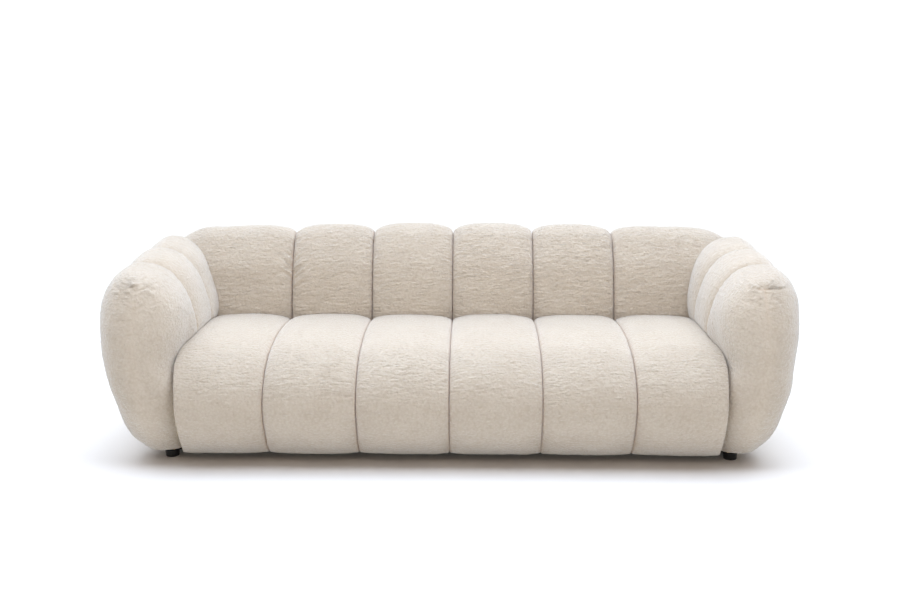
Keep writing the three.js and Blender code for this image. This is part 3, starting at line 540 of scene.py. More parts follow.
class Relief:
    """How far each point of a cover stands out from its plain form. run is measured across the channels and
    rise along the outline, in millimetres."""

    def __init__(self, seed, run, rise, seam_distance, zone):
        self.table = lattice(seed)
        self.run, self.rise, self.seam_distance, self.zone = run, rise, seam_distance, zone

    def wrinkles(self):
        t, run, rise = self.table, self.run, self.rise
        u = run + 10 * centred(t, run / 70 + 3.1, rise / 45)
        v = rise + 9 * centred(t, run / 50, rise / 50 + 9.7)
        fold = ridged(noise(t, u / 36 + 40, v / 6.5)) - 0.5
        fine = ridged(noise(t, u / 20, v / 4.6 + 70)) - 0.5
        patch = mix(0.6, 1.25, noise(t, run / 55 + 5, rise / 38 + 20))
        lumps = centred(t, run / 8 + 80, rise / 6 + 15)
        crinkle = (FOLDS * fold + FINE_FOLDS * fine) * patch * self.zone + LUMPS * lumps
        return crinkle * smooth(self.seam_distance, 1, 12)

    def swells(self):
        n = centred(self.table, self.run / 95 + 11, self.rise / 80 + 31)
        return SWELLS * n * smooth(self.seam_distance, 0, 60)

    def puckers(self, strength, tight):
        """Small folds across a seam, and long slanting ones where the cover was drawn tight."""
        d = self.seam_distance
        near = np.exp(-d / 24) * (1 - np.exp(-d / 2.5))
        ripple = centred(self.table, (self.rise - 0.3 * d) / 9 + 50, d / 60)
        patch = mix(0.2, 1.8, noise(self.table, self.rise / 45 + 60, 0 * d) ** 2)
        slant = ridged(noise(self.table, (self.rise - 0.65 * d) / 12 + 80, d / 120 + 7)) - 0.6
        drawn = tight * (LONG_PUCKERS * slant - 2.5) * np.exp(-d / 34) * (1 - np.exp(-d / 5))
        return PUCKERS * strength * ripple * near * patch + drawn


def hem_roll(form, v, radius):
    """How far the face is drawn in where it rolls under at its hems."""
    rise = form.length_at(v)
    from_hem = np.minimum(rise - rise[0], rise[-1] - rise if form is not SEAT else radius)
    s = np.clip(radius - from_hem, 0, radius)
    return radius - np.sqrt(radius ** 2 - s ** 2)


def hemmed(weights, form, ends, count):
    """Places over one outline, with a few close ones at each hem and one on the crest."""
    v = 2 * spread([(place / 2, weight) for place, weight in weights], count)
    close = np.array([0.6, 1.6, 3.2, 5.4, 8.0])
    first, second = (run[-1] for _, run in form.halves)
    kept = np.concatenate([close / first] * ends[0] + [2 - close / second] * ends[1] + [[0, 1.0, 2]])
    clear = np.abs(v[:, None] - kept[None]).min(1) > 0.3 / count
    return np.sort(np.concatenate([v[clear], kept]))


def dress(form, v, grid, seam_distance, seed, zone, strength, outward, tight=0, calm=1):
    """Relief on a grid of points, and the marks that the material reads, among them a painted shade that
    darkens the cloth along its seams. tight says how strongly a cover was drawn there, and calm fades its
    wrinkles where the rows close up."""
    run = np.concatenate([np.zeros((1, len(v))), np.linalg.norm(np.diff(grid, axis=0), axis=-1)]).cumsum(0)
    rise = np.broadcast_to(form.length_at(v), run.shape)
    distance = np.broadcast_to(seam_distance, run.shape)
    relief = Relief(seed, run, rise, distance, zone)
    roll = hem_roll(form, v, ARM_HEM_ROLL if form is ARM else HEM_ROLL)
    height = (relief.wrinkles() + relief.swells()) * calm + relief.puckers(strength, tight) - roll[None]
    normals = grid_normals(grid) * outward
    dressed = grid + normals * height[..., None]
    if form is ARM:
        dressed[..., 2] += ARM_HEM_LIFT * (1 - smooth(np.minimum(rise, rise[:, -1:] - rise), 0, 60))
    elif form is SEAT:
        dressed[..., 2] -= SEAT_HEM_DROP * (1 - smooth(rise, 0, 90))
    marks = {
        "cloth": np.stack([run + 37.0 * seed, rise, 0 * run], -1) * MM,
        "wrinkle": zone * calm + 0 * run,
        # painted shade near the seams, strongest at the seam and gone a few millimetres away
        "crease": np.exp(-distance / 2.6),
    }
    return dressed, marks


def put(obj, material, slot, *nodes):
    """Gives a piece its finish and its place in the part, and hides the CAD nodes that it stands for."""
    obj.data.materials.append(material)
    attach(obj, "root")
    if nodes:
        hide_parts(*nodes)
    return obj


def cover(group, number, made, way=1, nosed=False):
    """A cover made of what channel or nosed_channel gave, which way mirrors to the left where it is -1."""
    outer, inner, picks, marks = made
    place = np.array([way, 1, 1])
    obj = sleeve(f"{group}_cover_{number}", outer * place, inner * place, picks, nosed, marks)
    put(obj, BOUCLE, "boucle", f"{group}_channel_{number}")


# Seat covers

ROWS, ARM_ROWS, NOSE_ROWS = 64, 48, 30
SEAT_SEED, BACK_SEED, END_SEED, POD_SEED, FRONT_SEED, MIDDLE_SEED, REAR_SEED = 11, 31, 45, 60, 70, 80, 90
CALM_PUCKERS = 0.35
# How much of the painted seam shade is left on a seat cover's side that lies beside an arm
SEAM_SHADE_BESIDE_ARM = 0.25
FAR_FROM_SEAM = 999.0
SEAT_END_INSET = {-1: 22, 1: 14}
SEAT_END_SHARES = [(0, 0.4), (0.2, 0.75), (0.42, 0.75), (0.7, 0.6), (0.9, 0.2), (1, 0), (2, 0)]
SEAT_V = hemmed([(0, 0.7), (0.4, 1), (0.6, 1.5), (1.2, 1.4), (1.5, 0.4), (2, 0.3)], SEAT, (True, False), 270)
SEAT_ZONE = 0.25 + 0.5 * band(SEAT_V, 0.38, 0.82, 1.02, 1.32)
seat_seams = [-SEAT_HALF, *(PITCH * n for n in (-2, -1, 0, 1, 2)), SEAT_HALF]


def seat_inset(v, way):
    """How far the seat's end stands in beside an arm's rounded end."""
    return SEAT_END_INSET[way] * np.interp(v, *zip(*SEAT_END_SHARES))


def seat_edge(v):
    return mix(0.3, 1, smooth(v, 1.1, 1.5))


def column(values):
    return np.asarray(values, float)[:, None]


def inner_picks(rows):
    """The rows of an outer face that its inner face has too."""
    return np.linspace(0, rows - 1, 5).round().astype(int)


def channel(form, v, low, high, seed, zone, strength, outward, rows=ROWS, ends=(0, 0), drawn_tight=None):
    """A channel between two seams. ends says which of them are at an arm, where the face stands in a little,
    keeps more of its fullness and gets less of the painted seam shade."""
    across = across_places(rows)
    middle, half = (low + high) / 2, (high - low) / 2
    along = column(middle + half * across) + 0 * v[None]
    if ends[0]:
        along = along + seat_inset(v, -1) * column(np.maximum(-across, 0)) ** 3
    if ends[1]:
        along = along - seat_inset(v, 1) * column(np.maximum(across, 0)) ** 3
    beside_arm = ends[0] * (across < 0) + ends[1] * (across > 0)
    edge = 1 - (1 - seat_edge(v)) * column(beside_arm)
    grid = straight_grid(form, v, along, column(across), edge=edge)
    seam_distance = column((1 - np.abs(across)) * half)
    tight = column(across < 0) * drawn_tight(v) if drawn_tight else 0
    outer, marks = dress(form, v, grid, seam_distance, seed, zone, strength, outward, tight)
    # Less painted seam shade on the side that lies beside an arm.
    marks["crease"] = marks["crease"] * column(mix(1, SEAM_SHADE_BESIDE_ARM, beside_arm))
    picks = inner_picks(rows)
    inner = straight_grid(form, v, along[picks] + 0 * v[None], column(across[picks]), form.pad(v) - FIT_GAP)
    return outer, inner, picks, marks


for n in range(SEAT_CHANNELS):
    low = seat_seams[n] + FIT_GAP / 2
    high = seat_seams[n + 1] - FIT_GAP / 2
    ends = (n == 0, n == SEAT_CHANNELS - 1)
    made = channel(SEAT, SEAT_V, low, high, SEAT_SEED + n, SEAT_ZONE[None], CALM_PUCKERS, 1, ends=ends)
    cover("seat", n + 1, made)

# Back covers

BACK_V = hemmed([(0, 0.15), (0.38, 0.2), (0.45, 1), (0.9, 1), (1.15, 0.8), (1.4, 0.4), (2, 0.35)], BACK,
                (True, True), 270)
back_seams = [PITCH * n for n in (-2, -1, 0, 1, 2)]


def back_zone(v):
    """Where a back cover wrinkles, which is over most of its front."""
    return 0.15 + 0.85 * band(v, 0.3, 0.5, 0.88, 1.1)


def back_strength(v):
    """How strongly a back cover puckers at its seams, which is most near the crest."""
    return 0.5 + 0.8 * bell(v - 0.9, 0.08)


def tight_at(v):
    """The first seam's covers were drawn tight over a short height of the front."""
    z = BACK.place(*BACK.shares_at(v).T, 0.0)[1]
    return bell(z - 572, 58) * (v < 1)


for n in range(SEAT_CHANNELS - 2):
    low, high = back_seams[n] + FIT_GAP / 2, back_seams[n + 1] - FIT_GAP / 2
    made = channel(BACK, BACK_V, low, high, BACK_SEED + n, back_zone(BACK_V)[None],
                   back_strength(BACK_V)[None], 1, drawn_tight=tight_at if n == 0 else None)
    cover("back", n + 2, made)


def paired(v):
    """The places of the first half and their mirror images in the second, for a cover with a rounded end."""
    first = v[v <= 1]
    return np.concatenate([first, 2 - first[-2::-1]])


def nosed_channel(form, v, seam_at, crown_at, nose_at, tip, seed, zone, strength, touch=None, tight=0):
    """A channel from its seam to its rounded end, with the rows that its inner face shares. touch, if it is
    given, reworks the outer face and its marks."""
    way = math.copysign(1, tip - seam_at)
    across = across_places(2 * (ROWS // 2) + 1)[:ROWS // 2 + 1]
    along = list(mix(crown_at, seam_at, -across))
    plain = max(round(abs(nose_at - crown_at) / 7.5), 0)
    along += list(np.linspace(crown_at, nose_at, plain + 1)[1:])
    full_across = np.concatenate([across, np.zeros(plain)])
    along = np.array(along)
    body = straight_grid(form, v, column(along), column(full_across))
    nose = nose_grid(form, v, nose_at, tip - nose_at, NOSE_ROWS)
    grid = np.concatenate([body, nose])
    seam_distance = np.concatenate([np.abs(along - seam_at), np.full(NOSE_ROWS, FAR_FROM_SEAM)])
    calm = smooth(np.linalg.norm(grid - grid[-1:], axis=-1), 0, 34)
    if form is BACK:
        spacing = np.linalg.norm(np.gradient(grid, axis=1), axis=-1) / np.gradient(form.length_at(v))
        calm = calm * smooth(spacing, 0.35, 0.95)
    outer, marks = dress(form, v, grid, column(seam_distance), seed, zone, strength, 1, tight, calm)
    if touch:
        outer, marks = touch(outer, marks)
    start = len(along) - 1
    body_picks = np.array([0, ROWS // 8, ROWS // 4, ROWS // 2] + ([start] if plain else []))
    nose_picks = start + np.arange(2, NOSE_ROWS + 1, 2)
    pad = form.pad(v) - FIT_GAP
    inner_body = straight_grid(form, v, column(along[body_picks]), column(full_across[body_picks]), pad)
    length = tip - way * (form.pad(np.array([1.0]))[0] - 1) - nose_at
    inner_nose = nose_grid(form, v, nose_at, length, NOSE_ROWS // 2, pad, CORE_SEAM_SHARE)
    inner = np.concatenate([inner_body, inner_nose])
    return outer, inner, np.concatenate([body_picks, nose_picks]), marks


END_PLACES = [(0, 0.2), (0.3, 0.35), (0.45, 0.9), (0.9, 1), (1, 1), (2, 1)]
END_V = paired(hemmed(END_PLACES, BACK, (True, False), 300))

# The faces of the back's rounded ends, which the arms' last channels run up to
walls = {}
for side, way in (("left", -1), ("right", 1)):
    made = nosed_channel(BACK, END_V, back_seams[-1] + FIT_GAP / 2, back_seams[-1] + PITCH / 2, BACK_NOSE_X,
                         BACK_TIP, END_SEED + way, back_zone(END_V)[None], back_strength(END_V)[None],
                         tight=tight_at(END_V)[None] * (way < 0))
    outer = made[0]
    walls[side] = BVHTree.FromPolygons(outer.reshape(-1, 3).tolist(), quads(numbered(*outer.shape[:2])))
    cover("back", 1 if way < 0 else SEAT_CHANNELS, made, way, True)

# Arm covers

SEAT_LINE_V = np.linspace(0, 2, 400)
seat_a, seat_b = SEAT.shares_at(SEAT_LINE_V).T
SEAT_LINE = np.stack(seat_place(seat_a, seat_b, 0.0), -1)
RING_SKIRT = 9
SEAT_RING = np.concatenate([SEAT_LINE, [[y, BASE - RING_SKIRT] for y in (SEAT_REAR_Y, SEAT_LINE[0, 0])]])
CONTACT = 0.5


def inside_ring(points, ring):
    """Which points of the section's plane are inside a closed line."""
    y, z = points[:, :1], points[:, 1:]
    a, b = ring, np.roll(ring, -1, 0)
    crosses = (a[:, 1] > z) != (b[:, 1] > z)
    slope = (b[:, 0] - a[:, 0]) / np.where(b[:, 1] == a[:, 1], 1e-9, b[:, 1] - a[:, 1])
    return (crosses & (y < a[:, 0] + slope * (z - a[:, 1]))).sum(1) % 2 == 1


def clear_of_seat(grid, way):
    """Moves points that would be inside the end seat cover out to its face."""
    flat = grid.reshape(-1, 3).copy()
    near = np.nonzero((flat[:, 0] < SEAT_HALF + 2) & (flat[:, 2] < SEAT_HEIGHT + 2))[0]
    section_points = flat[near, 1:]
    near = near[inside_ring(section_points, SEAT_RING)]
    if len(near):
        spans = np.linalg.norm(flat[near, None, 1:] - SEAT_LINE[None], axis=-1)
        nearest, gaps = SEAT_LINE_V[spans.argmin(1)], spans.min(1)
        groove = SEAT.groove(nearest) * seat_edge(nearest)
        left = np.clip(1 - gaps / groove, 0, 1)
        across = np.where(gaps >= groove, 1, (1 - left ** CROWN_POWER) ** (1 / CROWN_POWER))
        middle = (seat_seams[-2] + SEAT_HALF) / 2
        face = middle + (SEAT_HALF - middle) * across - seat_inset(nearest, way) * across ** 3 + CONTACT
        flat[near, 0] = np.maximum(flat[near, 0], face)
    return flat.reshape(grid.shape)


SEAM_STEPS = curve_at(ARM.seam, np.linspace(0, 1, 200))
SEAM_X, SEAM_Z = arm_place(SEAM_STEPS[:, 0], SEAM_STEPS[:, 1], ARM_NOSE_Y)
TUCK_X, TUCK_Z = SEAM_X[-1], SEAM_Z[-1]
OVER_SEAT, BESIDE_SEAT = 16, 36
HEM_PRESS = {1: 0.7, -1: 0.55}
FULLER_SIDE, FULLER_FOOT = {1: -4.0, -1: 11.0}, {1: 9.0, -1: 13.0}
SEAM_DEPTH, DART_DEPTH, DIMPLE_DEPTH, PEBBLES, RIPPLES = 0.1, 2.4, 1.6, 7.0, 1.8


def front_seam(seed, v, way):
    """The front of an arm's rounded end: the seam down its middle, a short dart across the seam's top, which
    shows only on the right, dimples round it, and the way the end presses on the seat. Shade is painted along
    the seam line and into the dart's pinch."""
    table = lattice(seed)
    shown = 1.0 if way > 0 else 0.0

    def touch(grid, marks):
        x, y, z = (grid[..., n] for n in range(3))
        front = smooth(ARM_NOSE_Y - y, 60, 130)
        off = x - np.interp(z, SEAM_Z, SEAM_X)
        dx, dz = x - TUCK_X, z - TUCK_Z
        reach = np.hypot(dx, dz)
        below = 1 - smooth(dz, -4, 10)
        drawn_in = shown * smooth(z, 430, 580)
        line = (SEAM_DEPTH + drawn_in) * bell(off, 4.5)
        dart = DART_DEPTH * shown * bell(dz + 0.0015 * dx ** 2, 3.6) * (1 - smooth(np.abs(dx), 6, 32))
        dimple = DIMPLE_DEPTH * shown * bell(reach, 26)
        pebbles = centred(table, dx / 15 + 90, dz / 10 + 40) + 0.6 * centred(table, dx / 8 + 20, dz / 6)
        pebbles = PEBBLES * pebbles * bell(reach, 85) * (1 - smooth(dz, 20, 50))
        ripples = RIPPLES * centred(table, off / 26 + 30, z / 6.5 + 10) * bell(off, 40) * smooth(z, 260, 560)
        moved = grid.copy()
        moved[..., 1] += front * (line * below + dart + dimple + pebbles + ripples)
        inner = np.where(v < 1, 1 - smooth(v, 0.85, 1.0), 0)[None] * smooth(-off, 4, 70)
        outer = np.where(v > 1, smooth(v, 1.1, 1.3), 0)[None] * smooth(off, 2, 75)
        over_seat = OVER_SEAT * smooth(-y, 150, 290) * band(z, 290, 370, 390, 530)
        beside_seat = BESIDE_SEAT * smooth(-y, 220, 330) * (1 - smooth(z, 230, 370))
        beside_seat = beside_seat * mix(HEM_PRESS[way], 1, smooth(z, 40, 210))
        moved[..., 0] += inner * (over_seat - beside_seat)
        side = FULLER_SIDE[way] * band(z, 230, 330, 590, 690)
        low = FULLER_FOOT[way] * band(z, 30, 90, 230, 330)
        moved[..., 0] += outer * (side + low)
        # Painted shade: thread is a thin line of shade along the seam and pinch a short one at the dart; dark
        # is how strongly they darken the cloth.
        thread = bell(off, 2.0) * below
        pinch = bell(dz, 1.8) * (1 - smooth(np.abs(dx), 6, 30))
        dark = (0.02 + 0.15 * drawn_in) * thread + 0.4 * shown * pinch
        marks["crease"] = np.maximum(marks["crease"], front * dark)
        rough = 0.9 * front * bell(reach, 90) * smooth(np.abs(off), 4, 30)
        marks["wrinkle"] = np.maximum(marks["wrinkle"], rough)
        return moved, marks

    return touch


def reach_of(form, v, low, high, wall, samples=72):
    """How far along each line of a channel runs before it meets a wall."""
    along = np.linspace(low, high, samples)
    grid = straight_grid(form, v, column(along), column(2 * (along - low) / (high - low) - 1))
    ends = np.full(len(v), float(high))
    for k in range(len(v)):
        before = None
        for r in range(samples):
            point = Vector(grid[r, k])
            near, normal, _, distance = wall.find_nearest(point)
            gap = math.copysign(distance, (point - near).dot(normal)) - CONTACT
            if gap <= 0:
                share = 0 if before is None else before / (before - gap)
                ends[k] = along[max(r - 1, 0)] + share * (along[1] - along[0])
                break
            before = gap
    return ends


TIMBER = [box_of(f"right_arm_{name}") for name in ("base_rail", "panel", "top_rail")]


def clear_of_timber(grid):
    """Moves points of a cover's inner face that would be inside the arm's timber out of its nearest side."""
    flat = grid.reshape(-1, 3).copy()
    for low, high in TIMBER:
        low, high = low - CONTACT, high + CONTACT
        low[2] = 0
        within = ((flat > low) & (flat < high)).all(1)
        for n in np.nonzero(within)[0]:
            point = flat[n]
            ways = [(point[0] - low[0], 0, low[0]), (high[0] - point[0], 0, high[0]),
                    (point[1] - low[1], 1, low[1]), (high[2] - point[2], 2, high[2])]
            _, axis, value = min(ways)
            flat[n, axis] = value
    return flat.reshape(grid.shape)


ARM_V = hemmed([(0, 0.3), (0.35, 0.45), (0.5, 1), (1, 1), (1.5, 0.7), (2, 0.6)], ARM, (True, True), 220)
POD_V = paired(hemmed([(0, 0.7), (0.4, 0.8), (0.6, 1), (1, 1), (2, 1)], ARM, (True, False), 290))
arm_seams = [ARM_NOSE_Y + ARM_PITCH * (n + 0.5) for n in range(ARM_CHANNELS)]
LEFT_SHOULDER, LEFT_OUTSIDE, CREST_DROP = (0, 5, 20), (0, 9, 2), (0, 0, 5)
POD_ZONE = 0.6
ARM_ZONE = 0.25 + 0.3 * band(ARM_V, 0.5, 0.7, 1.1, 1.3)


def rear_channel(way, wall):
    """The arm's last channel, whose face runs on until it meets the back's end."""
    low, high = arm_seams[1] + FIT_GAP / 2, arm_seams[2] - FIT_GAP / 2
    ends = reach_of(ARM, ARM_V, low, high, wall)
    share = column((across_places(ARM_ROWS, 0.4) + 1) / 2)
    along = low + share * (ends[None] - low)
    across = np.minimum(2 * (along - low) / (high - low) - 1, 1)
    grid = straight_grid(ARM, ARM_V, along, across)
    seam_distance = np.minimum(along - low, ends[None] - along)
    outer, marks = dress(ARM, ARM_V, grid, seam_distance, REAR_SEED + way, ARM_ZONE[None], CALM_PUCKERS, -1)
    picks = inner_picks(ARM_ROWS)
    inner = straight_grid(ARM, ARM_V, along[picks], across[picks], ARM.pad(ARM_V) - FIT_GAP)
    return outer, inner, picks, marks


for side, way in (("left", -1), ("right", 1)):
    pod = nosed_channel(ARM, POD_V, arm_seams[0] - FIT_GAP / 2, ARM_NOSE_Y, ARM_NOSE_Y, ARM_TIP,
                        POD_SEED + way, POD_ZONE, CALM_PUCKERS, front_seam(FRONT_SEED + way, POD_V, way))
    middle = channel(ARM, ARM_V, arm_seams[0] + FIT_GAP / 2, arm_seams[1] - FIT_GAP / 2, MIDDLE_SEED + way,
                     ARM_ZONE[None], CALM_PUCKERS, -1, ARM_ROWS)
    for n, (outer, inner, picks, marks) in enumerate((pod, middle, rear_channel(way, walls[side]))):
        v = ARM_V if n else POD_V
        if way < 0:
            outer[..., 0] += LEFT_SHOULDER[n] * band(v, 0.5, 0.72, 0.86, 1.0) * (v < 1)
            outer[..., 0] += LEFT_OUTSIDE[n] * band(v, 1.02, 1.2, 1.3, 1.6)
        outer[..., 2] -= CREST_DROP[n] * band(v, 0.75, 0.95, 1.1, 1.4)
        made = clear_of_seat(outer, way), clear_of_timber(inner), picks, marks
        cover(f"{side}_arm", n + 1, made, way, n == 0)

# Finishes of what is inside and underneath


def foam_material():
    s = Shader("foam", Roughness=0.95, Specular_IOR_Level=0.15)
    place = s.place()
    cells = s.cells(place, 520.0)
    tone = s.ramp(s.noise(place, 14.0, 4.0), (0.3, (0.83, 0.74, 0.47)), (0.7, (0.88, 0.81, 0.58)))
    tone = s.blend(0.35, tone, s.ramp(cells, (0.1, WHITE), (0.7, (0.72, 0.68, 0.58))), "MULTIPLY")
    return s.finish(Base_Color=tone, Normal=s.bump(cells, 0.6, 0.0015))


def felt_material():
    s = Shader("felt", Roughness=1.0, Specular_IOR_Level=0.1, Sheen_Weight=0.3)
    place = s.place()
    fibres = s.noise(s.place(None, (1, 1, 1), (0, 0, 0.5)), 320.0, 5.0, 0.7, 2.5)
    shreds = s.ramp(s.noise(place, 90.0, 5.0, 0.7), (0.35, (0.16, 0.17, 0.19)), (0.5, (0.33, 0.33, 0.34)),
                    (0.66, (0.46, 0.42, 0.39)))
    return s.finish(Base_Color=shreds, Normal=s.bump(fibres, 0.7, 0.002))


def webbing_material():
    s = Shader("webbing", Roughness=0.85, Specular_IOR_Level=0.25)
    place = s.place()
    waves = (({"Vector": place, "Scale": scale, "Distortion": bent}, axis)
             for scale, bent, axis in ((130.0, 0.4, "Z"), (200.0, 0.3, "X"), (21.0, 0.0, "X")))
    ribs, cords, stripe = (s.node("TexWave", wave, bands_direction=axis).outputs[1] for wave, axis in waves)
    weave = s.total(ribs, (cords, 0.6))
    tone = s.ramp(stripe, (0.25, (0.08, 0.075, 0.07)), (0.34, (0.33, 0.29, 0.23)))
    tone = s.blend(0.4, tone, s.ramp(weave, (0.2, (0.55, 0.55, 0.55)), (1.0, WHITE)), "MULTIPLY")
    return s.finish(Base_Color=tone, Normal=s.bump(weave, 0.8, 0.0008))


def dust_cloth_material():
    s = Shader("dust_cloth", Roughness=0.9, Specular_IOR_Level=0.3)
    place = s.place()
    dimples = s.cells(place, 420.0, 0.25)
    fibres = s.noise(place, 700.0, 3.0, 0.7, 3.0)
    tone = s.ramp(s.noise(place, 30.0, 4.0), (0.3, (0.018, 0.018, 0.02)), (0.75, (0.04, 0.04, 0.042)))
    relief = s.total(dimples, (fibres, 0.5))
    return s.finish(Base_Color=tone, Normal=s.bump(relief, 0.6, 0.0006))


def plastic_material():
    s = Shader("foot_plastic", Specular_IOR_Level=0.3)
    place = s.place()
    grain = s.noise(place, 900.0, 3.0, 0.6)
    scuffs = s.noise(s.place(None, (1, 1, 8)), 60.0, 5.0, 0.7)
    tone = s.ramp(scuffs, (0.4, (0.006, 0.006, 0.0065)), (0.8, (0.016, 0.016, 0.016)))
    rough = s.between(scuffs, 0.36, 0.62)
    return s.finish(Base_Color=tone, Roughness=rough, Normal=s.bump(grain, 0.35, 0.0004))


def steel_material(name, tone, dull, rough):
    """Drawn wire or plated fasteners: tone is the bright metal and dull its darker stains."""
    s = Shader(name, Metallic=1.0)
    place = s.place()
    stains = s.noise(place, 55.0, 5.0, 0.65)
    streaks = s.noise(s.place(None, (1, 0.1, 1)), 800.0, 2.0)
    colour = s.ramp(stains, (0.35, dull), (0.65, tone))
    low, high = rough
    sheen = s.between(stains, high, low)
    return s.finish(Base_Color=colour, Roughness=sheen, Normal=s.bump(streaks, 0.15, 0.0003))


def timber_material(name, axis, pale, dark):
    """Planed timber whose grain runs along an axis."""
    s = Shader(name, Specular_IOR_Level=0.3)
    stretch = [26.0, 26.0, 26.0]
    stretch[axis] = 1.6
    figure = s.noise(s.place(None, stretch), 1.0, 5.0, 0.6, 1.2)
    fine = [230.0, 230.0, 230.0]
    fine[axis] = 7.0
    pores = s.noise(s.place(None, fine), 1.0, 3.0, 0.6)
    wave = {"Vector": s.place(None, [v / 26 for v in stretch]), "Scale": 16.0, "Distortion": 5.0,
            "Detail": 3.0, "Detail Scale": 1.5}
    rings = s.node("TexWave", wave, bands_direction="XYZ"[(axis + 1) % 3]).outputs[1]
    tone = s.ramp(s.total(s.math("MULTIPLY", figure, 0.7), (rings, 0.3)), (0.3, dark), (0.62, pale))
    tone = s.blend(0.3, tone, s.ramp(pores, (0.35, (0.6, 0.5, 0.4)), (0.5, WHITE)), "MULTIPLY")
    rough = s.between(pores, 0.75, 0.5)
    return s.finish(Base_Color=tone, Roughness=rough, Normal=s.bump(pores, 0.35, 0.0008))


BIRCH = [timber_material(f"birch_{letter}", axis, (0.74, 0.55, 0.34), (0.5, 0.31, 0.155))
         for axis, letter in enumerate("xyz")]
PLY = timber_material("plywood", 2, (0.7, 0.54, 0.37), (0.53, 0.37, 0.22))
SPRING_STEEL = steel_material("spring_steel", (0.34, 0.33, 0.32), (0.16, 0.15, 0.145), (0.3, 0.5))
ZINC = steel_material("zinc", (0.72, 0.72, 0.7), (0.5, 0.5, 0.47), (0.24, 0.4))

for name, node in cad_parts.items():
    if "spring_" in name and name != "spring_pad":
        finish = SPRING_STEEL
    elif name.endswith("bolt"):
        finish = ZINC
    elif name.endswith("panel"):
        finish = PLY
    elif name.endswith(("rail", "joist", "post")):
        finish = BIRCH[np.ptp(box_of(name), axis=0).argmax()]
    else:
        continue
    node.material_slots[0].material = finish

# Foam cores, cut a little unevenly

CORE_VOXEL, CORE_UNEVEN, CORE_CUT = 8, 1.2, 0.9
CORE_SEED, FELT_SEED, STRAP_SEED, DUST_SEED = 120, 130, 140, 150


def core(name, node, seed):
    obj = bpy.data.objects.new(name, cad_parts[node].data.copy())
    bpy.context.scene.collection.objects.link(obj)
    obj.data.materials.clear()
    remesh = obj.modifiers.new("remesh", "REMESH")
    remesh.mode = "VOXEL"
    remesh.voxel_size = CORE_VOXEL * MM
    mesh = bpy.data.meshes.new_from_object(obj.evaluated_get(bpy.context.evaluated_depsgraph_get()))
    obj.modifiers.clear()
    obj.data = mesh
    count = len(mesh.vertices)
    points, normals = np.empty(3 * count), np.empty(3 * count)
    mesh.vertices.foreach_get("co", points)
    mesh.vertices.foreach_get("normal", normals)
    points, normals = points.reshape(-1, 3) / MM, normals.reshape(-1, 3)
    x, y, z = points.T
    uneven = noise(lattice(seed), (x + 0.6 * z) / 27 + 60, (y - 0.7 * z) / 23 + 60) - 0.5
    points += normals * (CORE_UNEVEN * uneven - CORE_CUT)[:, None]
    mesh.vertices.foreach_set("co", (points * MM).ravel())
    mesh.polygons.foreach_set("use_smooth", [True] * len(mesh.polygons))
    mesh.update()
    return obj


FOAM = foam_material()
for seed, body in enumerate(("seat", "back", "right_arm", "left_arm")):
    piece = put(core(f"{body}_core", f"{body}_foam", CORE_SEED + seed), FOAM, "foam", f"{body}_foam")

# The felt pad on the springs

FELT_PITCH, FELT_ROUNDING, FELT_ROUNDING_REACH, FELT_TUFTS, FELT_WAVES = 10, 1.1, 6, 0.8, 0.4


def two_sided(name, top, bottom):
    """A closed sheet from the grids of its two faces."""
    rows, count = top.shape[:2]
    at = numbered(rows, count)
    under = rows * count
    faces = quads(at) + quads(at[:, ::-1] + under)
    rim = np.concatenate([at[:-1, 0], at[-1, :-1], at[:0:-1, -1], at[0, :0:-1]])
    ring = np.concatenate([rim, rim[:1]])
    faces += [[int(b), int(a), int(a + under), int(b + under)] for a, b in zip(ring, ring[1:])]
    return new_object(name, np.concatenate([top.reshape(-1, 3), bottom.reshape(-1, 3)]), faces)


def cad_tree(node):
    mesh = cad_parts[node].data
    return BVHTree.FromPolygons([v.co for v in mesh.vertices], [tuple(f.vertices) for f in mesh.polygons])


def slab(name, node, pitch, table):
    """A thin pad that follows the top and the bottom of a CAD solid, with soft edges."""
    low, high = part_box(node)
    tree = cad_tree(node)
    inset = FIT_GAP * MM
    xs, ys = (np.linspace(low[n] + inset, high[n] - inset, round((high[n] - low[n]) / pitch / MM) + 1)
              for n in range(2))
    x, y = np.meshgrid(xs, ys, indexing="ij")
    middle = (low[0] + high[0]) / 2
    faces_up, faces_down = (
        np.array([tree.ray_cast(Vector((middle, y, start)), Vector((0, 0, way)))[0].z for y in ys]) + 0 * x
        for start, way in ((high[2] + 1, -1), (low[2] - 1, 1)))
    edge = np.minimum(np.minimum(x - low[0], high[0] - x), np.minimum(y - low[1], high[1] - y)) / MM
    soft = FELT_ROUNDING * np.exp(-edge / FELT_ROUNDING_REACH)
    tuft = (FELT_TUFTS * noise(table, x / MM / 21, y / MM / 21)
            + FELT_WAVES * noise(table, x / MM / 60, y / MM / 60))
    top = np.stack([x, y, faces_up], -1) / MM
    bottom = np.stack([x, y, faces_down], -1) / MM
    top[..., 2] -= soft + tuft
    bottom[..., 2] += 0.5 * soft
    return two_sided(name, top, bottom)


pad = slab("felt_pad", "spring_pad", FELT_PITCH, lattice(FELT_SEED))
put(pad, felt_material(), "felt", "spring_pad")

# Staples: a flat crown and two legs that are driven in

STAPLE = [(-5.5, 6), (-5.5, 0.9), (-5.1, 0.2), (-4.4, 0), (4.4, 0), (5.1, 0.2), (5.5, 0.9), (5.5, 6)]
STAPLE_WIDTH, STAPLE_HEIGHT = 1.2, 0.6


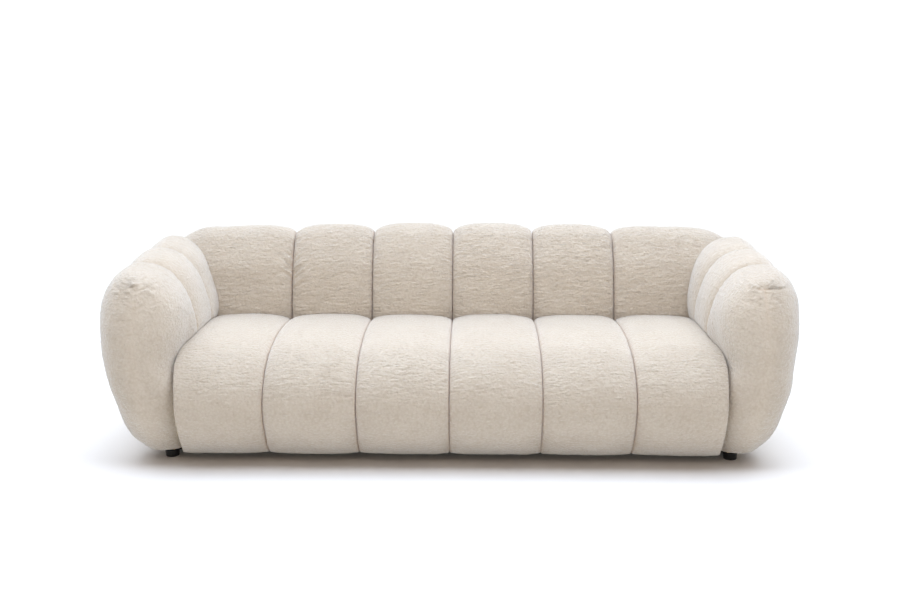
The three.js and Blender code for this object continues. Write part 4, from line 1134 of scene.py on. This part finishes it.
def staples(name, spots):
    """One object of staples. A spot is a crown's middle, the way it runs and the way its legs are driven."""
    points, faces = [], []
    for middle, along, into in spots:
        middle, along, into = (np.array(value, float) for value in (middle, along, into))
        side = np.cross(along, into)
        start = len(points)
        for n, (run, depth) in enumerate(STAPLE):
            before, after = STAPLE[max(n - 1, 0)], STAPLE[min(n + 1, len(STAPLE) - 1)]
            way = np.array([after[0] - before[0], after[1] - before[1]])
            way = way / np.hypot(*way)
            out = -way[1] * along + way[0] * into
            base = middle + run * along + depth * into
            for w, h in ((-1, 0), (-0.8, -1), (0.8, -1), (1, 0)):
                points.append(base + side * w * STAPLE_WIDTH / 2 + out * h * STAPLE_HEIGHT)
        for n in range(len(STAPLE) - 1):
            a = start + 4 * n
            faces += [[a + k, a + (k + 1) % 4, a + 4 + (k + 1) % 4, a + 4 + k] for k in range(4)]
        last = start + 4 * len(STAPLE)
        faces += [[start, start + 1, start + 2, start + 3], [last - 1, last - 2, last - 3, last - 4]]
    return cleaned(new_object(name, points, faces, False))


# Webbing up the back

WEBBING = webbing_material()
STRAPS, STRAP_COLUMNS, STRAP_ROWS = 4, 21, 111
STRAP_GIVE, STRAP_CUP, STRAP_EDGE, STRAP_WAVER, STRAP_FRAY = 0.7, 0.8, 0.3, 0.7, 0.8
STAPLE_ROWS, STAPLE_STEPS = ((9, -2), (21, 4)), (-20, -7, 7, 20)
spots = []
for n in range(STRAPS):
    node = f"back_webbing_{n + 1}"
    low, high = box_of(node)
    across, up = np.linspace(0, 1, STRAP_COLUMNS), np.linspace(0, 1, STRAP_ROWS)
    a, b = np.meshgrid(across, up, indexing="ij")
    table = lattice(STRAP_SEED + n)
    free = band(b, 0.08, 0.2, 0.8, 0.92)
    give = free * (STRAP_GIVE * noise(table, a * 2, b * 7) + STRAP_CUP * (2 * a - 1) ** 2)
    thin = STRAP_EDGE * smooth(np.abs(2 * a - 1), 0.8, 1)
    waver = STRAP_WAVER * centred(table, 30 + 0 * a, b * 20) * (2 * a - 1)
    fray = STRAP_FRAY * centred(table, a * 14, 50 + 0 * b) * (np.abs(2 * b - 1) > 0.999)
    x, z = mix(low[0], high[0], a) - waver, mix(low[2], high[2], b) + fray
    front = np.stack([x, low[1] + thin - give, z], -1)
    rear = np.stack([x, high[1] - 0.3 * thin - give, z], -1)
    strap = put(two_sided(f"back_strap_{n + 1}", front, rear), WEBBING, "webbing", node)
    for inset, shift in STAPLE_ROWS:
        for step in STAPLE_STEPS:
            x = (low[0] + high[0]) / 2 + step + shift
            for z in (low[2] + inset, high[2] - inset):
                spots.append(((x, low[1], z), (1, 0, 0), (0, 1, 0)))
put(staples("webbing_staples", spots), ZINC, "spring_steel")

# The dust cover and its staples

low, high = box_of("dust_cover")
DUST_THICKNESS, DUST_SAG, DUST_RIPPLE, DUST_PITCH = 0.6, 4.0, 1.1, 16
STUD_HOLE, HOLE_SIDES = 9.2, 32
STAPLE_PITCH, STAPLE_INSET, STAPLE_CLEAR = 52, 11, 32
feet = {name: box_of(name).mean(0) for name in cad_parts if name.endswith("_foot")}
joist = abs(box_of("right_joist").mean(0)[0])
rail_low, rail_high = box_of("front_rail")[1, 1], box_of("rear_rail")[0, 1]
flat, edges = [], []


def ring_of(corners):
    """Adds a closed line to the cloth's flat outline."""
    start = len(flat)
    flat.extend(corners)
    edges.extend((start + n, start + (n + 1) % len(corners)) for n in range(len(corners)))


xs = np.linspace(low[0], high[0], round((high[0] - low[0]) / DUST_PITCH) + 1)
ys = np.linspace(low[1], high[1], round((high[1] - low[1]) / DUST_PITCH) + 1)
ring_of([(x, ys[0]) for x in xs[:-1]] + [(xs[-1], y) for y in ys[:-1]] + [(x, ys[-1]) for x in xs[:0:-1]]
        + [(xs[0], y) for y in ys[:0:-1]])
for middle in feet.values():
    ring_of([tuple(middle[:2] + STUD_HOLE / 2 * np.array([math.cos(t), math.sin(t)]))
             for t in np.linspace(0, 2 * math.pi, HOLE_SIDES + 1)[:-1]])
for x in xs[1:-1]:
    for y in ys[1:-1]:
        if all(math.hypot(x - c[0], y - c[1]) > STUD_HOLE * 0.8 for c in feet.values()):
            flat.append((x, y))
result = delaunay_2d_cdt([Vector(point) for point in flat], edges, [], 0, 1e-6)
flat = np.array([tuple(v) for v in result[0]])
hubs = np.array([c[:2] for c in feet.values()])
triangles = [list(t) for t in result[2] if np.hypot(*(flat[t].mean(0) - hubs).T).min() > STUD_HOLE / 2 * 0.98]
x, y = flat.T
table = lattice(DUST_SEED)


def between_rails(reach):
    """A share that is 0 at the front and the rear rail and 1 at reach from them."""
    return band(y, rail_low - 4, rail_low + reach, rail_high - reach, rail_high + 4)


bay = np.where(np.abs(x) < joist, x / joist, (np.abs(x) - joist) / (high[0] - joist) * 2 - 1)
free, loose = (1 - bay ** 2) * between_rails(150), between_rails(60)
ripple = noise(table, x / 55, y / 31) + 0.5 * noise(table, x / 23, y / 18)
face_z = low[2] + 0.2
under = face_z - DUST_SAG * free - DUST_RIPPLE * ripple * loose
count = len(flat)
points = np.concatenate([np.stack([x, y, under], -1), np.stack([x, y, under + DUST_THICKNESS], -1)])
faces = [t[::-1] for t in triangles] + [[n + count for n in t] for t in triangles]
sides = dict.fromkeys((a, b) for t in triangles for a, b in zip(t, t[1:] + t[:1]))
faces += [[a, b, b + count, a + count] for a, b in sides if (b, a) not in sides]
dust = put(new_object("dust_cloth", points, faces), dust_cloth_material(), "dust_cloth", "dust_cover")
spots = []
for axis, run_in in ((0, 30), (1, 40)):
    along = (1 - axis, axis, 0)
    for run in np.arange(low[axis] + run_in, high[axis] - run_in + 1, STAPLE_PITCH):
        for edge in (low[1 - axis] + STAPLE_INSET, high[1 - axis] - STAPLE_INSET):
            x, y = (edge, run) if axis else (run, edge)
            if np.hypot(*((x, y) - hubs).T).min() > STAPLE_CLEAR:
                spots.append(((x, y, face_z), along, (0, 0, 1)))
put(staples("dust_cover_staples", spots), ZINC, "spring_steel")

# Feet: moulded, hollow under the sole, each with a threaded stud

FOOT_PROFILE = [
    (0, 1.6), (12.5, 1.6), (13.4, 1.2), (14, 0.4), (14.8, 0.05), (19.6, 0), (20.8, 0.25), (21.6, 0.9),
    (22, 2), (22.25, 5.6), (22.75, 13), (23.25, 20.4), (23.2, 22.2), (22.6, 23.3), (21.4, 23.9), (20, 24),
    (9, 24), (8.6, 23.9), (0, 23.9),
]
STUD_PITCH, STUD_ROOT, STUD_CREST, STUD_TOP, STUD_SIDES = 1.25, 3.35, 3.95, 56, 32
LATHE_WELD = 1e-6


def lathe(name, middle, profile, count=72):
    """A turned solid. The profile is pairs of radius and height."""
    turn = np.linspace(0, 2 * math.pi, count + 1)[:-1]
    r, z = np.array(profile, float).T
    points = np.stack([middle[0] + r[:, None] * np.cos(turn), middle[1] + r[:, None] * np.sin(turn),
                       z[:, None] + 0 * turn], -1)
    at = numbered(len(profile), count)
    faces = quads(np.concatenate([at, at[:, :1]], 1))
    return cleaned(new_object(name, points.reshape(-1, 3), faces), LATHE_WELD, LATHE_WELD / 10)


PLASTIC = plastic_material()
turns = round((STUD_TOP - 2 - FOOT_HEIGHT) / STUD_PITCH)
thread = [(0, FOOT_HEIGHT - 1), (STUD_ROOT, FOOT_HEIGHT - 1)]
for n in range(turns):
    start = FOOT_HEIGHT + n * STUD_PITCH
    thread += [(STUD_ROOT, start + 0.1), (STUD_CREST, start + 0.55), (STUD_CREST, start + 0.7),
               (STUD_ROOT, start + 1.15)]
thread += [(STUD_ROOT, STUD_TOP - 1.5), (2.6, STUD_TOP), (0, STUD_TOP)]
for name, middle in feet.items():
    put(lathe(name.replace("_foot", "_glide"), middle, FOOT_PROFILE), PLASTIC, "foot_plastic", name)
    put(lathe(name.replace("_foot", "_stud"), middle, thread, STUD_SIDES), ZINC, "spring_steel")

# Floor and lights

FLOOR_REACH = 60000
corners = [(x * FLOOR_REACH, y * FLOOR_REACH, 0) for x, y in ((-1, -1), (1, -1), (1, 1), (-1, 1))]
floor = new_object("floor", corners, [(0, 1, 2, 3)], False)
pale = Shader("pale_floor", Roughness=0.9, Base_Color=(0.79, 0.78, 0.77, 1))
floor.data.materials.append(pale.finish())
floor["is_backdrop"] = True

# The studio, by the direction that light comes from: brightest and a little cool overhead on the rear side,
# bright and warm low in front, dim at the sides and overhead in front, white behind, and white along the
# horizon

world = bpy.data.worlds.new("studio")
world.use_nodes = True
tree = world.node_tree
sky = tree.nodes["Background"]
way = tree.nodes.new("ShaderNodeSeparateXYZ")
tree.links.new(tree.nodes.new("ShaderNodeTexCoord").outputs["Generated"], way.inputs[0])


def ease(value, low, high):
    node = tree.nodes.new("ShaderNodeMapRange")
    node.interpolation_type = "SMOOTHSTEP"
    node.inputs["From Min"].default_value = low
    node.inputs["From Max"].default_value = high
    tree.links.new(value, node.inputs["Value"])
    return node.outputs["Result"]


def mixed(factor, a, b):
    node = tree.nodes.new("ShaderNodeMix")
    node.data_type = "RGBA"
    for socket, value in ((0, factor), (6, a), (7, b)):
        if isinstance(value, bpy.types.NodeSocket):
            tree.links.new(value, node.inputs[socket])
        else:
            node.inputs[socket].default_value = value
    return node.outputs[2]


OVERHEAD, OVERHEAD_BEHIND = (0.35, 0.35, 0.35, 1), (3.75, 4.2, 4.75, 1)
BEHIND, BEHIND_HIGH = (1.05, 1.05, 1.05, 1), (1.55, 1.48, 1.45, 1)
LEFT, RIGHT = (0.22, 0.22, 0.22, 1), (0.28, 0.27, 0.27, 1)
HORIZON = (1.2, 1.2, 1.17, 1)
FRONT, FRONT_HIGH = (2.1, 1.99, 1.73, 1), (0.2, 0.09, 0.05, 1)


def lift(low, high):
    """One colour near the horizon and another above it."""
    return mixed(ease(way.outputs["Z"], 0.22, 0.38), low, high)


sides = mixed(ease(way.outputs["X"], -0.8, -0.5), LEFT, lift(FRONT, FRONT_HIGH))
sides = mixed(ease(way.outputs["X"], 0.5, 0.8), sides, RIGHT)
around = mixed(ease(way.outputs["Y"], -0.05, 0.35), sides, lift(BEHIND, BEHIND_HIGH))
above = mixed(ease(way.outputs["Y"], -0.15, 0.15), OVERHEAD, OVERHEAD_BEHIND)
around = mixed(ease(way.outputs["Z"], 0.09, 0.13), HORIZON, around)
around = mixed(ease(way.outputs["Z"], 0.62, 0.85), around, above)
tree.links.new(around, sky.inputs["Color"])
scene.world = world

# A long softbox hangs over the seat's front edge and faces the back

SOFTBOX, SOFTBOX_WATTS = (0.66, 0.69, 0.76), 48
SOFTBOX_SIZE, SOFTBOX_AT, SOFTBOX_TILT = (3.8, 0.7), (0.15, -0.75, 2.15), 38

lamp = bpy.data.lights.new("softbox", "AREA")
lamp.shape = "RECTANGLE"
lamp.size, lamp.size_y = SOFTBOX_SIZE
lamp.energy = SOFTBOX_WATTS
lamp.color = SOFTBOX
softbox = bpy.data.objects.new("softbox", lamp)
softbox.location = SOFTBOX_AT
softbox.rotation_euler = (math.radians(SOFTBOX_TILT), 0, 0)
scene.collection.objects.link(softbox)

# Bounds of all that is shown, without the floor

low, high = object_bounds()
